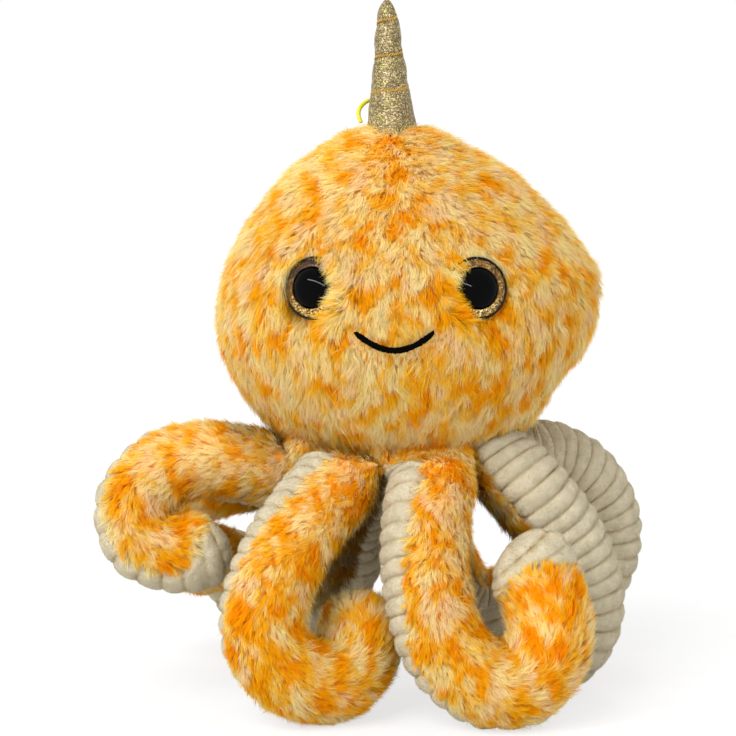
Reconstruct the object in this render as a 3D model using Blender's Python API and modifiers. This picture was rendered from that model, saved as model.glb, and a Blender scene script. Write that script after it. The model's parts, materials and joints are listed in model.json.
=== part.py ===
"""A plush octopus with a small horn, as a soft toy is sewn: panels, filling, eyes, horn and eight arms.

Units are metres and +Z is up. The toy stands on the floor plane z = 0 and faces -Y. Its origin lies on the
floor under the middle of its footprint. Left and right are as the viewer sees the face.
"""
import math

import bmesh
import bpy
from mathutils import Vector
from mathutils.bvhtree import BVHTree

# Clearances between pieces that touch
SEAT_GAP = 0.0003
FILL_GAP = 0.0007
SEAM_GAP = 0.0009
OVERRUN = 0.002
MERGE_DISTANCE = 0.00001

# Head
HEAD_HEIGHT = 0.164
HEAD_LEFT = 0.0895
HEAD_RIGHT = 0.105
HEAD_FRONT = 0.080
HEAD_BACK = 0.084
HEAD_BOTTOM = 0.121
HEAD_CENTRE_SHARE = 0.5
HEAD_PILE = 0.005
HEAD_COLUMNS = 4
# Radius and height of the head's outline, bottom to top
BASE_OUTLINE_SHARES = ((0.27, 0.006), (0.505, 0.026))
SEAM_SHARE = (0.515, 0.028)
TOP_SHARE = (0.012, 1.0)
HEAD_OUTLINE_SHARES = (
    SEAM_SHARE, (0.72, 0.076), (0.885, 0.183), (0.98, 0.305), (1.0, 0.415),
    (0.955, 0.555), (0.85, 0.677), (0.73, 0.768), (0.585, 0.86), (0.31, 0.966), (0.12, 0.994), TOP_SHARE,
)
# How far the outline reaches on the right at some heights, which is fuller above its middle and slimmer below it
HEAD_RIGHT_SHARES = (
    (0.028, 1.0), (0.076, 0.94), (0.183, 0.89), (0.305, 0.955), (0.415, 0.995), (0.555, 1.04), (0.677, 1.01),
    (0.768, 1.0), (0.86, 0.97), (0.966, 0.88), (0.994, 0.94), (1.0, 1.0),
)

# Eyes
EYE_SPACING = 0.079
EYE_ABOVE_BOTTOM = 0.088
EYE_DIAMETER = 0.030
EYE_SINK = 0.003
EYE_RIM = 0.0012
EYE_RING_RISE = 0.0035
PUPIL_DIAMETER = 0.0197
PUPIL_RISE = 0.0068
SHANK_DIAMETER = 0.005
SHANK_LENGTH = 0.013
WASHER_DIAMETER = 0.019
WASHER_THICKNESS = 0.0016
WASHER_DEPTH = 0.0088
# The step along the plush that finds which way an eye faces
SURFACE_STEP_SHARE = 0.01

# Mouth
MOUTH_WIDTH = 0.0385
MOUTH_SAG = 0.009
MOUTH_THREAD = 0.0024
MOUTH_BELOW_EYES = 0.0195
MOUTH_POINTS = 14

# Horn
HORN_HEIGHT = 0.0575
HORN_BASE_RADIUS = 0.0114
HORN_TIP_RADIUS = 0.0052
HORN_FLARE_POWER = 1.35
HORN_ROUNDING = 0.012
HORN_ROUNDING_POWER = 0.8
HORN_CLOTH = 0.0012
HORN_PINCH = 0.0006
HORN_LIFT = 0.0016
HORN_BALL_RADIUS = 0.006
HORN_SHIFT_LEFT = 0.0010
HORN_LEAN_LEFT = 0.0023
HORN_LEAN_BACK = 0.003
HORN_PITCH = 0.0172
HORN_THREAD = 0.0009
HORN_TURN_STEPS = 14
HORN_FIRST_TURN_SHARE = 0.74
HORN_THREAD_END_GAP = 0.00074
HORN_TURNS = (HORN_HEIGHT - HORN_THREAD_END_GAP) / HORN_PITCH - HORN_FIRST_TURN_SHARE
HORN_START_ANGLE = math.radians(-100)
HORN_FRONT_LEVEL_SHARE = 0.8
HORN_RINGS_PER_TURN = 5
HORN_PIVOT_ABOVE_HEAD = 0.003

# Hang loop: its route from the foot of the horn, in metres, chosen by hand
LOOP_THICKNESS = 0.0021
LOOP_ROUTE = (
    (-0.0025, 0.0125, 0.0000), (-0.0035, 0.0130, 0.0042), (-0.0070, 0.0125, 0.0079),
    (-0.0120, 0.0100, 0.0088), (-0.0160, 0.0065, 0.0060), (-0.0172, 0.0040, 0.0022),
    (-0.0160, 0.0025, -0.0015),
)
LOOP_STEPS = 22

# Arms
ARM_SPREAD = 0.100
ARM_RADIUS = 0.0205
ARM_PILE = 0.0045
ARM_WALL_SHARE = 0.34
ROOT_CLEARANCE = 0.0012
ROOT_DROP = math.radians(50)
ROOT_LEAD = 0.015
ROOT_HALF_WIDTH = 0.0155
ROOT_HALF_THICKNESS = 0.0013
ROOT_SWELL_LENGTH = 0.034
ROOT_TWIST_START = 0.012
ROOT_TWIST_LENGTH = 0.038
ROOT_GIRTH_SHARE = 0.88
TIP_ROUNDING = 0.016
TIP_END_SHARE = 0.27
TIP_WRAP_LENGTH = 0.022
RIB_PITCH = 0.010
RIB_DEPTH = 0.0022
FLAT_DEPTH = 0.0005
PLUSH_HALF_ANGLE = math.radians(90)
TIP_HALF_ANGLE = math.radians(35)
PLUSH_OUTER_SIDES = 4
PLUSH_INNER_SIDES = 3
RIBBED_OUTER_SIDES = 4
RIBBED_INNER_SIDES = 2
CURVE_STEPS = 24
FIRST_ARM_ANGLE = math.radians(17.5)

# Each arm: does it stand, which way it curls seen from the front (1 clockwise, -1 the other way), how far its
# plush side turns from the inside of the curl to the viewer at even steps from root to tip, its girth share, and
# its route after the lead out of the seam, as shares of ARM_SPREAD across and deep, and of HEAD_BOTTOM high
ARM_SHARES = {
    "front_right": (True, -1, (20, 22, 46, 80, 84), 1.06, (
        (0.165, -0.605, 0.840), (0.150, -0.700, 0.700), (0.170, -0.790, 0.530), (0.245, -0.845, 0.345),
        (0.420, -0.865, 0.210), (0.610, -0.855, 0.205), (0.735, -0.830, 0.345), (0.720, -0.800, 0.515),
        (0.645, -0.780, 0.660), (0.550, -0.765, 0.740))),
    "right": (True, 1, (-32, -33, -34, -35, -35), 1.03, (
        (0.690, -0.275, 0.820), (0.825, -0.260, 0.670), (0.915, -0.240, 0.500),
        (0.935, -0.215, 0.325), (0.850, -0.180, 0.190), (0.680, -0.140, 0.170), (0.555, -0.105, 0.260),
        (0.530, -0.085, 0.350))),
    "right_rear": (False, 1, (-40, -42, -45, -48, -50), 0.98, (
        (0.800, 0.270, 0.905), (0.970, 0.330, 0.815), (1.080, 0.380, 0.645), (1.065, 0.410, 0.440),
        (0.920, 0.430, 0.320), (0.740, 0.440, 0.340), (0.650, 0.440, 0.450))),
    "rear_right": (True, -1, (-60, -58, -55, -52, -50), 0.96, (
        (0.245, 0.660, 0.730), (0.225, 0.800, 0.530), (0.285, 0.890, 0.345),
        (0.400, 0.955, 0.195), (0.580, 0.980, 0.165), (0.730, 0.980, 0.240), (0.790, 0.960, 0.370))),
    "rear_left": (True, 1, (55, 32, 4, -6, -10), 0.98, (
        (-0.185, 0.645, 0.730), (-0.240, 0.755, 0.540), (-0.265, 0.845, 0.350),
        (-0.410, 0.895, 0.200), (-0.610, 0.915, 0.175), (-0.780, 0.910, 0.265), (-0.840, 0.890, 0.400),
        (-0.800, 0.880, 0.500))),
    "left_rear": (False, -1, (90, 85, 75, 65, 60), 0.93, (
        (-0.705, 0.310, 0.840), (-0.905, 0.350, 0.800), (-1.085, 0.385, 0.710),
        (-1.140, 0.415, 0.560), (-1.035, 0.465, 0.455), (-0.870, 0.505, 0.455), (-0.770, 0.525, 0.530))),
    "left": (False, -1, (125, 118, 75, 25, 5), 0.97, (
        (-0.740, -0.215, 0.960), (-0.930, -0.260, 0.985), (-1.130, -0.305, 0.945),
        (-1.262, -0.370, 0.820), (-1.225, -0.430, 0.685), (-1.075, -0.455, 0.635), (-0.920, -0.445, 0.650),
        (-0.820, -0.415, 0.690))),
    "front_left": (True, -1, (40, 44, 64, 78, 82), 1.06, (
        (-0.410, -0.640, 0.800), (-0.530, -0.740, 0.655), (-0.610, -0.810, 0.480),
        (-0.595, -0.845, 0.320), (-0.465, -0.830, 0.200), (-0.290, -0.750, 0.170), (-0.180, -0.630, 0.255),
        (-0.150, -0.510, 0.370), (-0.140, -0.440, 0.430))),
}

# From under the horn to the middle of the footprint
FOOTPRINT_SHIFT_RIGHT = 0.0084
FOOTPRINT_SHIFT_BACK = -0.0055

# Colours
ORANGE_PLUSH = (0.90, 0.42, 0.07)
CREAM_RIBS = (0.86, 0.80, 0.66)
FIBRE_WHITE = (0.90, 0.90, 0.87)
BUTTON_BLACK = (0.01, 0.01, 0.01)
GLITTER_GOLD = (0.45, 0.30, 0.10)
HORN_GOLD = (0.55, 0.47, 0.30)
THREAD_OCHRE = (0.42, 0.24, 0.04)
LOOP_YELLOW = (0.85, 0.78, 0.05)
WASHER_WHITE = (0.80, 0.80, 0.80)

FRONT = Vector((0, -1, 0))
UP = Vector((0, 0, 1))


def clear_scene():
    for item in list(bpy.data.objects):
        bpy.data.objects.remove(item, do_unlink=True)


def new_collection(name):
    collection = bpy.data.collections.new(name)
    bpy.context.scene.collection.children.link(collection)
    return collection


def material(name, colour, roughness, metallic=0.0):
    result = bpy.data.materials.get(name)
    if result is None:
        result = bpy.data.materials.new(name)
        result.use_nodes = True
        shader = result.node_tree.nodes["Principled BSDF"]
        shader.inputs["Base Color"].default_value = (*colour, 1)
        shader.inputs["Roughness"].default_value = roughness
        shader.inputs["Metallic"].default_value = metallic
    return result


def add_object(name, mesh, collection, finish=None, parent=None):
    result = bpy.data.objects.new(name, mesh)
    collection.objects.link(result)
    if parent is not None:
        result.parent = parent
        mesh.transform(parent.matrix_world.inverted())
    if finish is not None:
        mesh.materials.append(finish)
    return result


def add_pivot(name, place, collection):
    pivot = bpy.data.objects.new(name, None)
    collection.objects.link(pivot)
    pivot.location = place
    pivot.empty_display_size = ARM_RADIUS
    bpy.context.view_layer.update()
    return pivot


def split_inward(bm):
    """Split each four-sided face along the diagonal that takes least room, so nested pieces stay apart."""
    for face in [f for f in bm.faces if len(f.verts) == 4]:
        a, b, c, d = face.verts
        rise = (b.co - a.co).cross(c.co - a.co).dot(d.co - a.co)
        pair = (a, c) if rise > 0 else (b, d)
        bmesh.utils.face_split(face, *pair)


def mesh_from(bm, name, smooth=True):
    bmesh.ops.recalc_face_normals(bm, faces=bm.faces)
    split_inward(bm)
    mesh = bpy.data.meshes.new(name)
    bm.to_mesh(mesh)
    bm.free()
    if smooth:
        mesh.shade_smooth()
        mesh.set_sharp_from_angle(angle=math.radians(50))
    return mesh


def loft(name, rings):
    """A closed solid through rings of points that all have the same count, with flat caps at both ends."""
    bm = bmesh.new()
    rows = [[bm.verts.new(point) for point in ring] for ring in rings]
    count = len(rows[0])
    for low, high in zip(rows, rows[1:]):
        for i in range(count):
            j = (i + 1) % count
            bm.faces.new((low[i], low[j], high[j], high[i]))
    bm.faces.new(rows[0])
    bm.faces.new(rows[-1])
    return mesh_from(bm, name)


def curved_panel(name, outer, inner):
    """A closed solid between two grids of points, rows by columns, that lie one above the other."""
    bm = bmesh.new()
    skins = [[[bm.verts.new(point) for point in row] for row in grid] for grid in (outer, inner)]
    for rows in skins:
        for low, high in zip(rows, rows[1:]):
            for i in range(len(low) - 1):
                bm.faces.new((low[i], low[i + 1], high[i + 1], high[i]))
    outside, inside = skins
    rims = [(outside[0], inside[0]), (outside[-1], inside[-1])]
    rims += [([row[end] for row in outside], [row[end] for row in inside]) for end in (0, -1)]
    for top, bottom in rims:
        for i in range(len(top) - 1):
            bm.faces.new((top[i], top[i + 1], bottom[i + 1], bottom[i]))
    return mesh_from(bm, name)


def turned(name, profile, segments):
    """A turned solid about Z. The profile of (radius, height) runs down its outer side, top to bottom."""
    mesh = bpy.data.meshes.new(name)
    points = [(radius, 0, height) for radius, height in profile]
    edges = [(i, i + 1) for i in range(len(points) - 1)]
    if profile[0][0] > 0:
        edges.append((len(points) - 1, 0))
    mesh.from_pydata(points, edges, [])
    result = bpy.data.objects.new(name, mesh)
    bpy.context.scene.collection.objects.link(result)
    screw = result.modifiers.new("Turn", "SCREW")
    screw.steps = segments
    screw.render_steps = segments
    screw.use_merge_vertices = True
    screw.merge_threshold = MERGE_DISTANCE
    bpy.context.view_layer.update()
    solid = bpy.data.meshes.new_from_object(result.evaluated_get(bpy.context.evaluated_depsgraph_get()))
    bpy.data.objects.remove(result, do_unlink=True)
    bm = bmesh.new()
    bm.from_mesh(solid)
    bpy.data.meshes.remove(solid)
    return mesh_from(bm, name)


def tube(name, points, radius, bevel_resolution):
    """A closed tube along points, made from a bevelled curve whose caps are welded."""
    curve = bpy.data.curves.new(name, "CURVE")
    curve.dimensions = "3D"
    curve.bevel_depth = radius
    curve.bevel_resolution = bevel_resolution
    curve.use_fill_caps = True
    spline = curve.splines.new("POLY")
    spline.points.add(len(points) - 1)
    for target, point in zip(spline.points, points):
        target.co = (*point, 1)
    guide = bpy.data.objects.new(name, curve)
    bpy.context.scene.collection.objects.link(guide)
    bpy.context.view_layer.update()
    solid = bpy.data.meshes.new_from_object(guide.evaluated_get(bpy.context.evaluated_depsgraph_get()))
    bpy.data.objects.remove(guide, do_unlink=True)
    bm = bmesh.new()
    bm.from_mesh(solid)
    bpy.data.meshes.remove(solid)
    bmesh.ops.remove_doubles(bm, verts=bm.verts, dist=MERGE_DISTANCE)
    return mesh_from(bm, name)


def cut(target, cutter):
    """Subtract the cutter, which stays out of the model."""
    cutter.hide_render = True
    cutter.display_type = "WIRE"
    boolean = target.modifiers.new("Cut", "BOOLEAN")
    boolean.operation = "DIFFERENCE"
    boolean.solver = "EXACT"
    boolean.object = cutter


def cylinder_cutter(name, radius, bottom, top, frame, collection, segments=24):
    """A cylinder along the frame's Z axis from bottom to top."""
    bm = bmesh.new()
    bmesh.ops.create_cone(
        bm, cap_ends=True, segments=segments, radius1=radius, radius2=radius, depth=top - bottom)
    bmesh.ops.translate(bm, verts=bm.verts, vec=(0, 0, (top + bottom) / 2))
    bm.transform(frame)
    return add_object(name, mesh_from(bm, name, smooth=False), collection)


def smooth_route(points, steps):
    """Catmull-Rom curve through the points, with the given steps in each span."""
    ends = [2 * points[0] - points[1], *points, 2 * points[-1] - points[-2]]
    route = []
    for a, b, c, d in zip(ends, ends[1:], ends[2:], ends[3:]):
        for step in range(steps):
            t = step / steps
            cubic = 3 * b - a - 3 * c + d
            square = 2 * a - 5 * b + 4 * c - d
            route.append(0.5 * (2 * b + (c - a) * t + square * t * t + cubic * t ** 3))
    route.append(points[-1])
    return route


def lengths_along(route):
    total = 0
    lengths = [total]
    for a, b in zip(route, route[1:]):
        total += (b - a).length
        lengths.append(total)
    return lengths


def resample(route, count):
    """The same route with count + 1 evenly spaced points, and its length."""
    lengths = lengths_along(route)
    points = []
    k = 0
    for i in range(count + 1):
        wanted = lengths[-1] * i / count
        while k < len(route) - 2 and lengths[k + 1] < wanted:
            k += 1
        span = lengths[k + 1] - lengths[k]
        points.append(route[k].lerp(route[k + 1], (wanted - lengths[k]) / span))
    return points, lengths[-1]


def ease(value):
    """Smooth step from 0 to 1."""
    value = min(max(value, 0), 1)
    return value * value * (3 - 2 * value)


def right_share(height_share):
    for low, high in zip(HEAD_RIGHT_SHARES, HEAD_RIGHT_SHARES[1:]):
        if height_share <= high[0]:
            mix = max(height_share - low[0], 0) / (high[0] - low[0])
            return low[1] + mix * (high[1] - low[1])
    return 1


def head_point(angle, outline_share, depth=0.0):
    """A point of the head's outer surface, or depth below it. Angle 0 is the front, 90 degrees the right."""
    radius_share, height_share = outline_share
    side = HEAD_LEFT
    if math.sin(angle) > 0:
        side = HEAD_RIGHT * (1 + (right_share(height_share) - 1) * math.sin(angle))
    front = HEAD_FRONT if math.cos(angle) > 0 else HEAD_BACK
    height = HEAD_BOTTOM + height_share * HEAD_HEIGHT
    point = Vector((
        math.sin(angle) * side * radius_share, -math.cos(angle) * front * radius_share, height))
    centre = Vector((0, 0, HEAD_BOTTOM + HEAD_CENTRE_SHARE * HEAD_HEIGHT))
    inward = centre - point
    return point + inward.normalized() * depth


def head_angles(first_quarter):
    quarter = math.pi / 2
    return [(first_quarter + k / HEAD_COLUMNS) * quarter for k in range(HEAD_COLUMNS + 1)]


def build_head_panels(collection, plush):
    """Four gores that meet at front, side and back seams."""
    panels = {}
    quarters = {
        "head_front_right_panel": (0, 1, -1), "head_back_right_panel": (1, 1, 1),
        "head_back_left_panel": (2, -1, 1), "head_front_left_panel": (3, -1, -1),
    }
    for name, (quarter, across, deep) in quarters.items():
        seam = Vector((across, deep, 0)) * (SEAT_GAP / 2)
        angles = head_angles(quarter)
        outer = [[head_point(a, share) + seam for a in angles] for share in HEAD_OUTLINE_SHARES]
        inner = [[head_point(a, share, HEAD_PILE) + seam for a in angles] for share in HEAD_OUTLINE_SHARES]
        panels[name] = add_object(name, curved_panel(name, outer, inner), collection, plush)
    return panels


def head_ring(share, depth):
    return [head_point(a, share, depth) for quarter in range(4) for a in head_angles(quarter)[:-1]]


def build_base_panel(collection, plush):
    """The round panel under the head, inside the ring of arms."""
    outer = [head_ring(share, 0) for share in BASE_OUTLINE_SHARES]
    inner = [head_ring(share, HEAD_PILE) for share in reversed(BASE_OUTLINE_SHARES)]
    mesh = loft("base_panel", outer + inner)
    return add_object("base_panel", mesh, collection, plush)


def build_head_stuffing(collection, fibre):
    depth = HEAD_PILE + FILL_GAP
    shares = BASE_OUTLINE_SHARES + HEAD_OUTLINE_SHARES[1:]
    rings = [head_ring(share, depth) for share in shares]
    return add_object("head_stuffing", loft("head_stuffing", rings), collection, fibre)


def surface_tree(objects):
    """A tree of the objects' meshes, for rays that land on the built surface."""
    points = []
    faces = []
    for item in objects:
        start = len(points)
        points += [vertex.co.copy() for vertex in item.data.vertices]
        faces += [[start + index for index in face.vertices] for face in item.data.polygons]
    return BVHTree.FromPolygons(points, faces)


def eye_frame(side):
    """The place of an eye on the plush, with +Z pointing out of it."""
    x = side * EYE_SPACING / 2
    half = HEAD_RIGHT if side > 0 else HEAD_LEFT
    height_share = EYE_ABOVE_BOTTOM / HEAD_HEIGHT
    radius_share = outline_radius_share(height_share)
    angle = math.asin(x / (half * radius_share))
    here = head_point(angle, (radius_share, height_share))
    along = head_point(angle + SURFACE_STEP_SHARE, (radius_share, height_share)) - here
    higher = height_share + SURFACE_STEP_SHARE
    rise = head_point(angle, (outline_radius_share(higher), higher)) - here
    out = along.cross(rise).normalized()
    frame = out.to_track_quat("Z", "Y").to_matrix().to_4x4()
    frame.translation = here
    return frame


def outline_radius_share(height_share):
    for low, high in zip(HEAD_OUTLINE_SHARES, HEAD_OUTLINE_SHARES[1:]):
        if low[1] <= height_share <= high[1]:
            mix = (height_share - low[1]) / (high[1] - low[1])
            return low[0] + mix * (high[0] - low[0])
    raise ValueError("height outside the head")


def pupil_profile():
    """Black button with its domed top, a flat back on the plush and a shank, top to bottom."""
    radius = PUPIL_DIAMETER / 2
    back = -EYE_SINK + SEAT_GAP
    rise = PUPIL_RISE - EYE_SINK
    dome = []
    for step in range(7):
        angle = math.pi / 2 * step / 6
        dome.append((radius * math.sin(angle), back + EYE_RIM + (rise - back - EYE_RIM) * math.cos(angle)))
    dome[0] = (0, dome[0][1])
    shank = SHANK_DIAMETER / 2
    end = back - SHANK_LENGTH
    return dome + [(radius, back), (shank, back), (shank, end), (0, end)]


def ring_profile():
    """Glitter ring that slopes up to the button."""
    outer = EYE_DIAMETER / 2
    inner = PUPIL_DIAMETER / 2 + SEAT_GAP
    back = -EYE_SINK + SEAT_GAP
    return [
        (inner, back + EYE_RING_RISE), ((inner + outer) / 2, back + EYE_RING_RISE - EYE_RIM / 2),
        (outer, back + EYE_RIM), (outer, back), (inner, back),
    ]


def washer_profile():
    outer = WASHER_DIAMETER / 2
    inner = SHANK_DIAMETER / 2 + SEAT_GAP
    bottom = -WASHER_DEPTH - WASHER_THICKNESS
    return [(inner, -WASHER_DEPTH), (outer, -WASHER_DEPTH), (outer, bottom), (inner, bottom)]


def build_eye(side, panel, stuffing, parts, cutters, finishes):
    """One safety eye: button, glitter ring, washer, and the room that they need in plush and filling."""
    word = "right" if side > 0 else "left"
    frame = eye_frame(side)
    pieces = (
        (f"{word}_eye", pupil_profile(), finishes["button"]),
        (f"{word}_glitter_ring", ring_profile(), finishes["glitter"]),
        (f"{word}_eye_washer", washer_profile(), finishes["washer"]),
    )
    for name, profile, finish in pieces:
        mesh = turned(name, profile, 24)
        mesh.transform(frame)
        add_object(name, mesh, parts, finish)
    recess = EYE_DIAMETER / 2 + SEAT_GAP
    bore = SHANK_DIAMETER / 2 + SEAT_GAP
    pocket = WASHER_DIAMETER / 2 + FILL_GAP
    shank_end = EYE_SINK + SHANK_LENGTH + FILL_GAP
    cut(panel, cylinder_cutter(f"{word}_recess_cutter", recess, -EYE_SINK, EYE_DIAMETER, frame, cutters))
    cut(panel, cylinder_cutter(f"{word}_bore_cutter", bore, -shank_end, OVERRUN - EYE_SINK, frame, cutters, 12))
    deep = -WASHER_DEPTH - WASHER_THICKNESS - FILL_GAP
    cut(stuffing, cylinder_cutter(f"{word}_pocket_cutter", pocket, deep, 0, frame, cutters))
    cut(stuffing, cylinder_cutter(f"{word}_shank_cutter", bore, -shank_end, 0, frame, cutters, 12))


def build_mouth(panels, parts, finish):
    """A thread tube that follows the built surface of the two front gores."""
    tree = surface_tree([panels["head_front_left_panel"], panels["head_front_right_panel"]])
    radius = MOUTH_THREAD / 2
    middle = HEAD_BOTTOM + EYE_ABOVE_BOTTOM - MOUTH_BELOW_EYES
    points = []
    for i in range(MOUTH_POINTS):
        share = 2 * i / (MOUTH_POINTS - 1) - 1
        start = Vector((share * MOUTH_WIDTH / 2, -2 * HEAD_FRONT, middle - MOUTH_SAG * (1 - share * share)))
        place = tree.ray_cast(start, -FRONT)[0]
        if place is None:
            place = tree.find_nearest(start)[0]
        points.append(place + FRONT * (radius + FILL_GAP))
    add_object("mouth_embroidery", tube("mouth_embroidery", points, radius, 1), parts, finish)


def head_top():
    return Vector((0, 0, HEAD_BOTTOM + HEAD_HEIGHT * TOP_SHARE[1]))


def horn_radius(height):
    flare = (1 - height / HORN_HEIGHT) ** HORN_FLARE_POWER
    straight = HORN_TIP_RADIUS + (HORN_BASE_RADIUS - HORN_TIP_RADIUS) * flare
    left = HORN_HEIGHT - height
    if left < HORN_ROUNDING:
        straight *= max(1 - (1 - left / HORN_ROUNDING) ** 2, 0.04) ** HORN_ROUNDING_POWER
    return straight


def horn_turn_height(angle, turn):
    """Height of the thread line at an angle about the horn, on a given turn. It rises to the viewer's right."""
    rise = (angle - HORN_FRONT_LEVEL_SHARE * math.sin(angle)) / math.tau
    return HORN_PITCH * (turn + HORN_FIRST_TURN_SHARE + rise)


def horn_outer_radius(angle, height):
    """Cloth radius, drawn in along the winding thread."""
    nearest = min(abs(height - horn_turn_height(angle, turn)) for turn in range(-1, 5))
    first = horn_turn_height(0, 0)
    last = first + HORN_TURNS * HORN_PITCH
    fade = ease((height - first + HORN_PITCH / 2) / HORN_PITCH) * ease((last + HORN_PITCH - height) / HORN_PITCH)
    pinch = HORN_PINCH * fade * (0.5 + 0.5 * math.cos(math.tau * nearest / HORN_PITCH))
    return horn_radius(height) - pinch


def horn_axis(height):
    share = height / HORN_HEIGHT
    base = head_top() + UP * (SEAT_GAP + HORN_LIFT)
    return base + Vector((-HORN_SHIFT_LEFT - HORN_LEAN_LEFT * share, HORN_LEAN_BACK * share * share, height))


def horn_point(angle, height, radius):
    return horn_axis(height) + Vector((math.sin(angle), -math.cos(angle), 0)) * radius


def build_horn(parts, pivot, finishes):
    """Cloth cone, filling and the winding thread."""
    angles = [math.tau * k / HORN_TURN_STEPS for k in range(HORN_TURN_STEPS)]
    rings = round(HORN_HEIGHT / HORN_PITCH * HORN_RINGS_PER_TURN)
    heights = [(HORN_HEIGHT - HORN_ROUNDING) * k / rings for k in range(rings + 1)]
    heights += [HORN_HEIGHT - HORN_ROUNDING * share for share in (0.7, 0.4, 0.15)]
    outer = [[horn_point(a, h, horn_outer_radius(a, h)) for a in angles] for h in heights]
    wall = HORN_PINCH + HORN_CLOTH
    cone_heights = [HORN_HEIGHT - HORN_ROUNDING - HORN_CLOTH, HORN_HEIGHT / 2, 0]
    inner = [[horn_point(a, h, horn_radius(h) - wall) for a in angles] for h in cone_heights]
    add_object("horn_cover", loft("horn_cover", inner + outer), parts, finishes["horn"], pivot)

    fill = wall + FILL_GAP
    ball = HORN_BALL_RADIUS
    bottom = []
    for share in (0.15, 0.5, 0.85):
        drop = ball - math.sqrt(ball * ball - (ball * share) ** 2)
        bottom.append([horn_point(a, drop - HORN_LIFT, ball * share) for a in angles])
    fill_heights = [HORN_HEIGHT * share for share in (0.1, 0.5)] + [HORN_HEIGHT - HORN_ROUNDING - 2 * HORN_CLOTH]
    filling = [[horn_point(a, h, horn_radius(h) - fill) for a in angles] for h in fill_heights]
    add_object("horn_stuffing", loft("horn_stuffing", bottom + filling), parts, finishes["fibre"], pivot)

    steps = round(HORN_TURNS * HORN_TURN_STEPS)
    radius = HORN_THREAD / 2
    route = []
    for k in range(steps + 1):
        angle = math.tau * HORN_TURNS * k / steps + HORN_START_ANGLE
        height = horn_turn_height(angle, 0)
        route.append(horn_point(angle, height, horn_outer_radius(angle, height) + radius + SEAT_GAP))
    add_object("horn_thread", tube("horn_thread", route, radius, 1), parts, finishes["thread"], pivot)


def loop_route(tree):
    """The loop's route, with both ends brought down to the plush."""
    foot = head_top()
    points = [foot + Vector(place) for place in LOOP_ROUTE]
    for end in (0, -1):
        above = points[end] + UP * HORN_HEIGHT
        points[end].z = tree.ray_cast(above, -UP)[0].z + SEAT_GAP + LOOP_THICKNESS / 4
    return resample(smooth_route(points, CURVE_STEPS), LOOP_STEPS)[0]


def build_loop(panels, parts, finish):
    route = loop_route(surface_tree(panels.values()))
    pivot = add_pivot("hang_loop_seam", (route[0] + route[-1]) / 2, parts)
    add_object("hang_loop", tube("hang_loop", route, LOOP_THICKNESS / 2, 1), parts, finish, pivot)


class Station:
    """A cross-section of an arm: its centre, its directions, its half sizes and the reach of its plush."""

    def __init__(self, centre, normal, side, thick, width, half_angle):
        self.centre = centre
        self.normal = normal
        self.side = side
        self.thick = thick
        self.width = width
        self.half_angle = half_angle
        self.wall = min(ARM_PILE, ARM_WALL_SHARE * thick)

    def point(self, angle, inset, shift=0.0):
        across = self.side * ((self.width - inset) * math.sin(angle))
        outward = self.normal * ((self.thick - inset) * math.cos(angle) + shift)
        return self.centre + across + outward


def arm_angle(index):
    return FIRST_ARM_ANGLE + math.tau * index / len(ARM_SHARES)


def arm_root(index):
    """Where an arm is sewn in: a point just under the seam round the base panel."""
    return head_point(arm_angle(index), SEAM_SHARE) - UP * ROOT_CLEARANCE


def arm_outward(index):
    return Vector((math.sin(arm_angle(index)), -math.cos(arm_angle(index)), 0))


def turn_at(turns, share):
    """The turn between values given at even steps along an arm."""
    place = share * (len(turns) - 1)
    step = min(int(place), len(turns) - 2)
    return turns[step] + (turns[step + 1] - turns[step]) * (place - step)


def arm_stations(index, stands, curl, turns, girth_share, route_shares):
    """One station in each groove between ribs, from the root to the tip."""
    root = arm_root(index)
    low = [Vector((x * ARM_SPREAD, y * ARM_SPREAD, z * HEAD_BOTTOM)) for x, y, z in route_shares]
    outward = arm_outward(index)
    seam_line = outward.cross(UP)
    lead = root + (outward * math.cos(ROOT_DROP) - UP * math.sin(ROOT_DROP)) * ROOT_LEAD
    route = smooth_route([root, lead, *low], CURVE_STEPS)
    ribs = round(lengths_along(route)[-1] / RIB_PITCH)
    centres, length = resample(route, ribs)
    full = ARM_RADIUS * girth_share
    stations = []
    for k, centre in enumerate(centres):
        before = centres[max(k - 1, 0)]
        after = centres[min(k + 1, len(centres) - 1)]
        along = (after - before).normalized()
        here = length * k / ribs
        turned_by = math.radians(turn_at(turns, k / ribs))
        inner = along.cross(FRONT).normalized() * curl
        plush_way = inner * math.cos(turned_by) + FRONT * math.sin(turned_by)
        seam_way = outward if outward.dot(plush_way) > 0 else -outward
        normal = seam_way.lerp(plush_way, ease((here - ROOT_TWIST_START) / ROOT_TWIST_LENGTH))
        normal = (normal - along * normal.dot(along)).normalized()
        swell = ease(here / ROOT_SWELL_LENGTH)
        radius = full * (ROOT_GIRTH_SHARE + (1 - ROOT_GIRTH_SHARE) * ease(here / (length / 2)))
        into_tip = max(here - (length - TIP_ROUNDING), 0) / TIP_ROUNDING
        tip_share = math.sqrt(max(1 - into_tip ** 2, TIP_END_SHARE ** 2))
        thick = (ROOT_HALF_THICKNESS + (radius - ROOT_HALF_THICKNESS) * swell) * tip_share
        width = (ROOT_HALF_WIDTH + (radius - ROOT_HALF_WIDTH) * swell) * tip_share
        wrap = ease((here - (length - TIP_WRAP_LENGTH)) / TIP_WRAP_LENGTH)
        half_angle = PLUSH_HALF_ANGLE + (TIP_HALF_ANGLE - PLUSH_HALF_ANGLE) * wrap
        side = along.cross(normal)
        seam_side = seam_line if seam_line.dot(side) > 0 else -seam_line
        side = seam_side.lerp(side, swell)
        stations.append(Station(centre, normal, side, thick, width, half_angle))
    if stands:
        settle(stations)
    return stations


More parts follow.
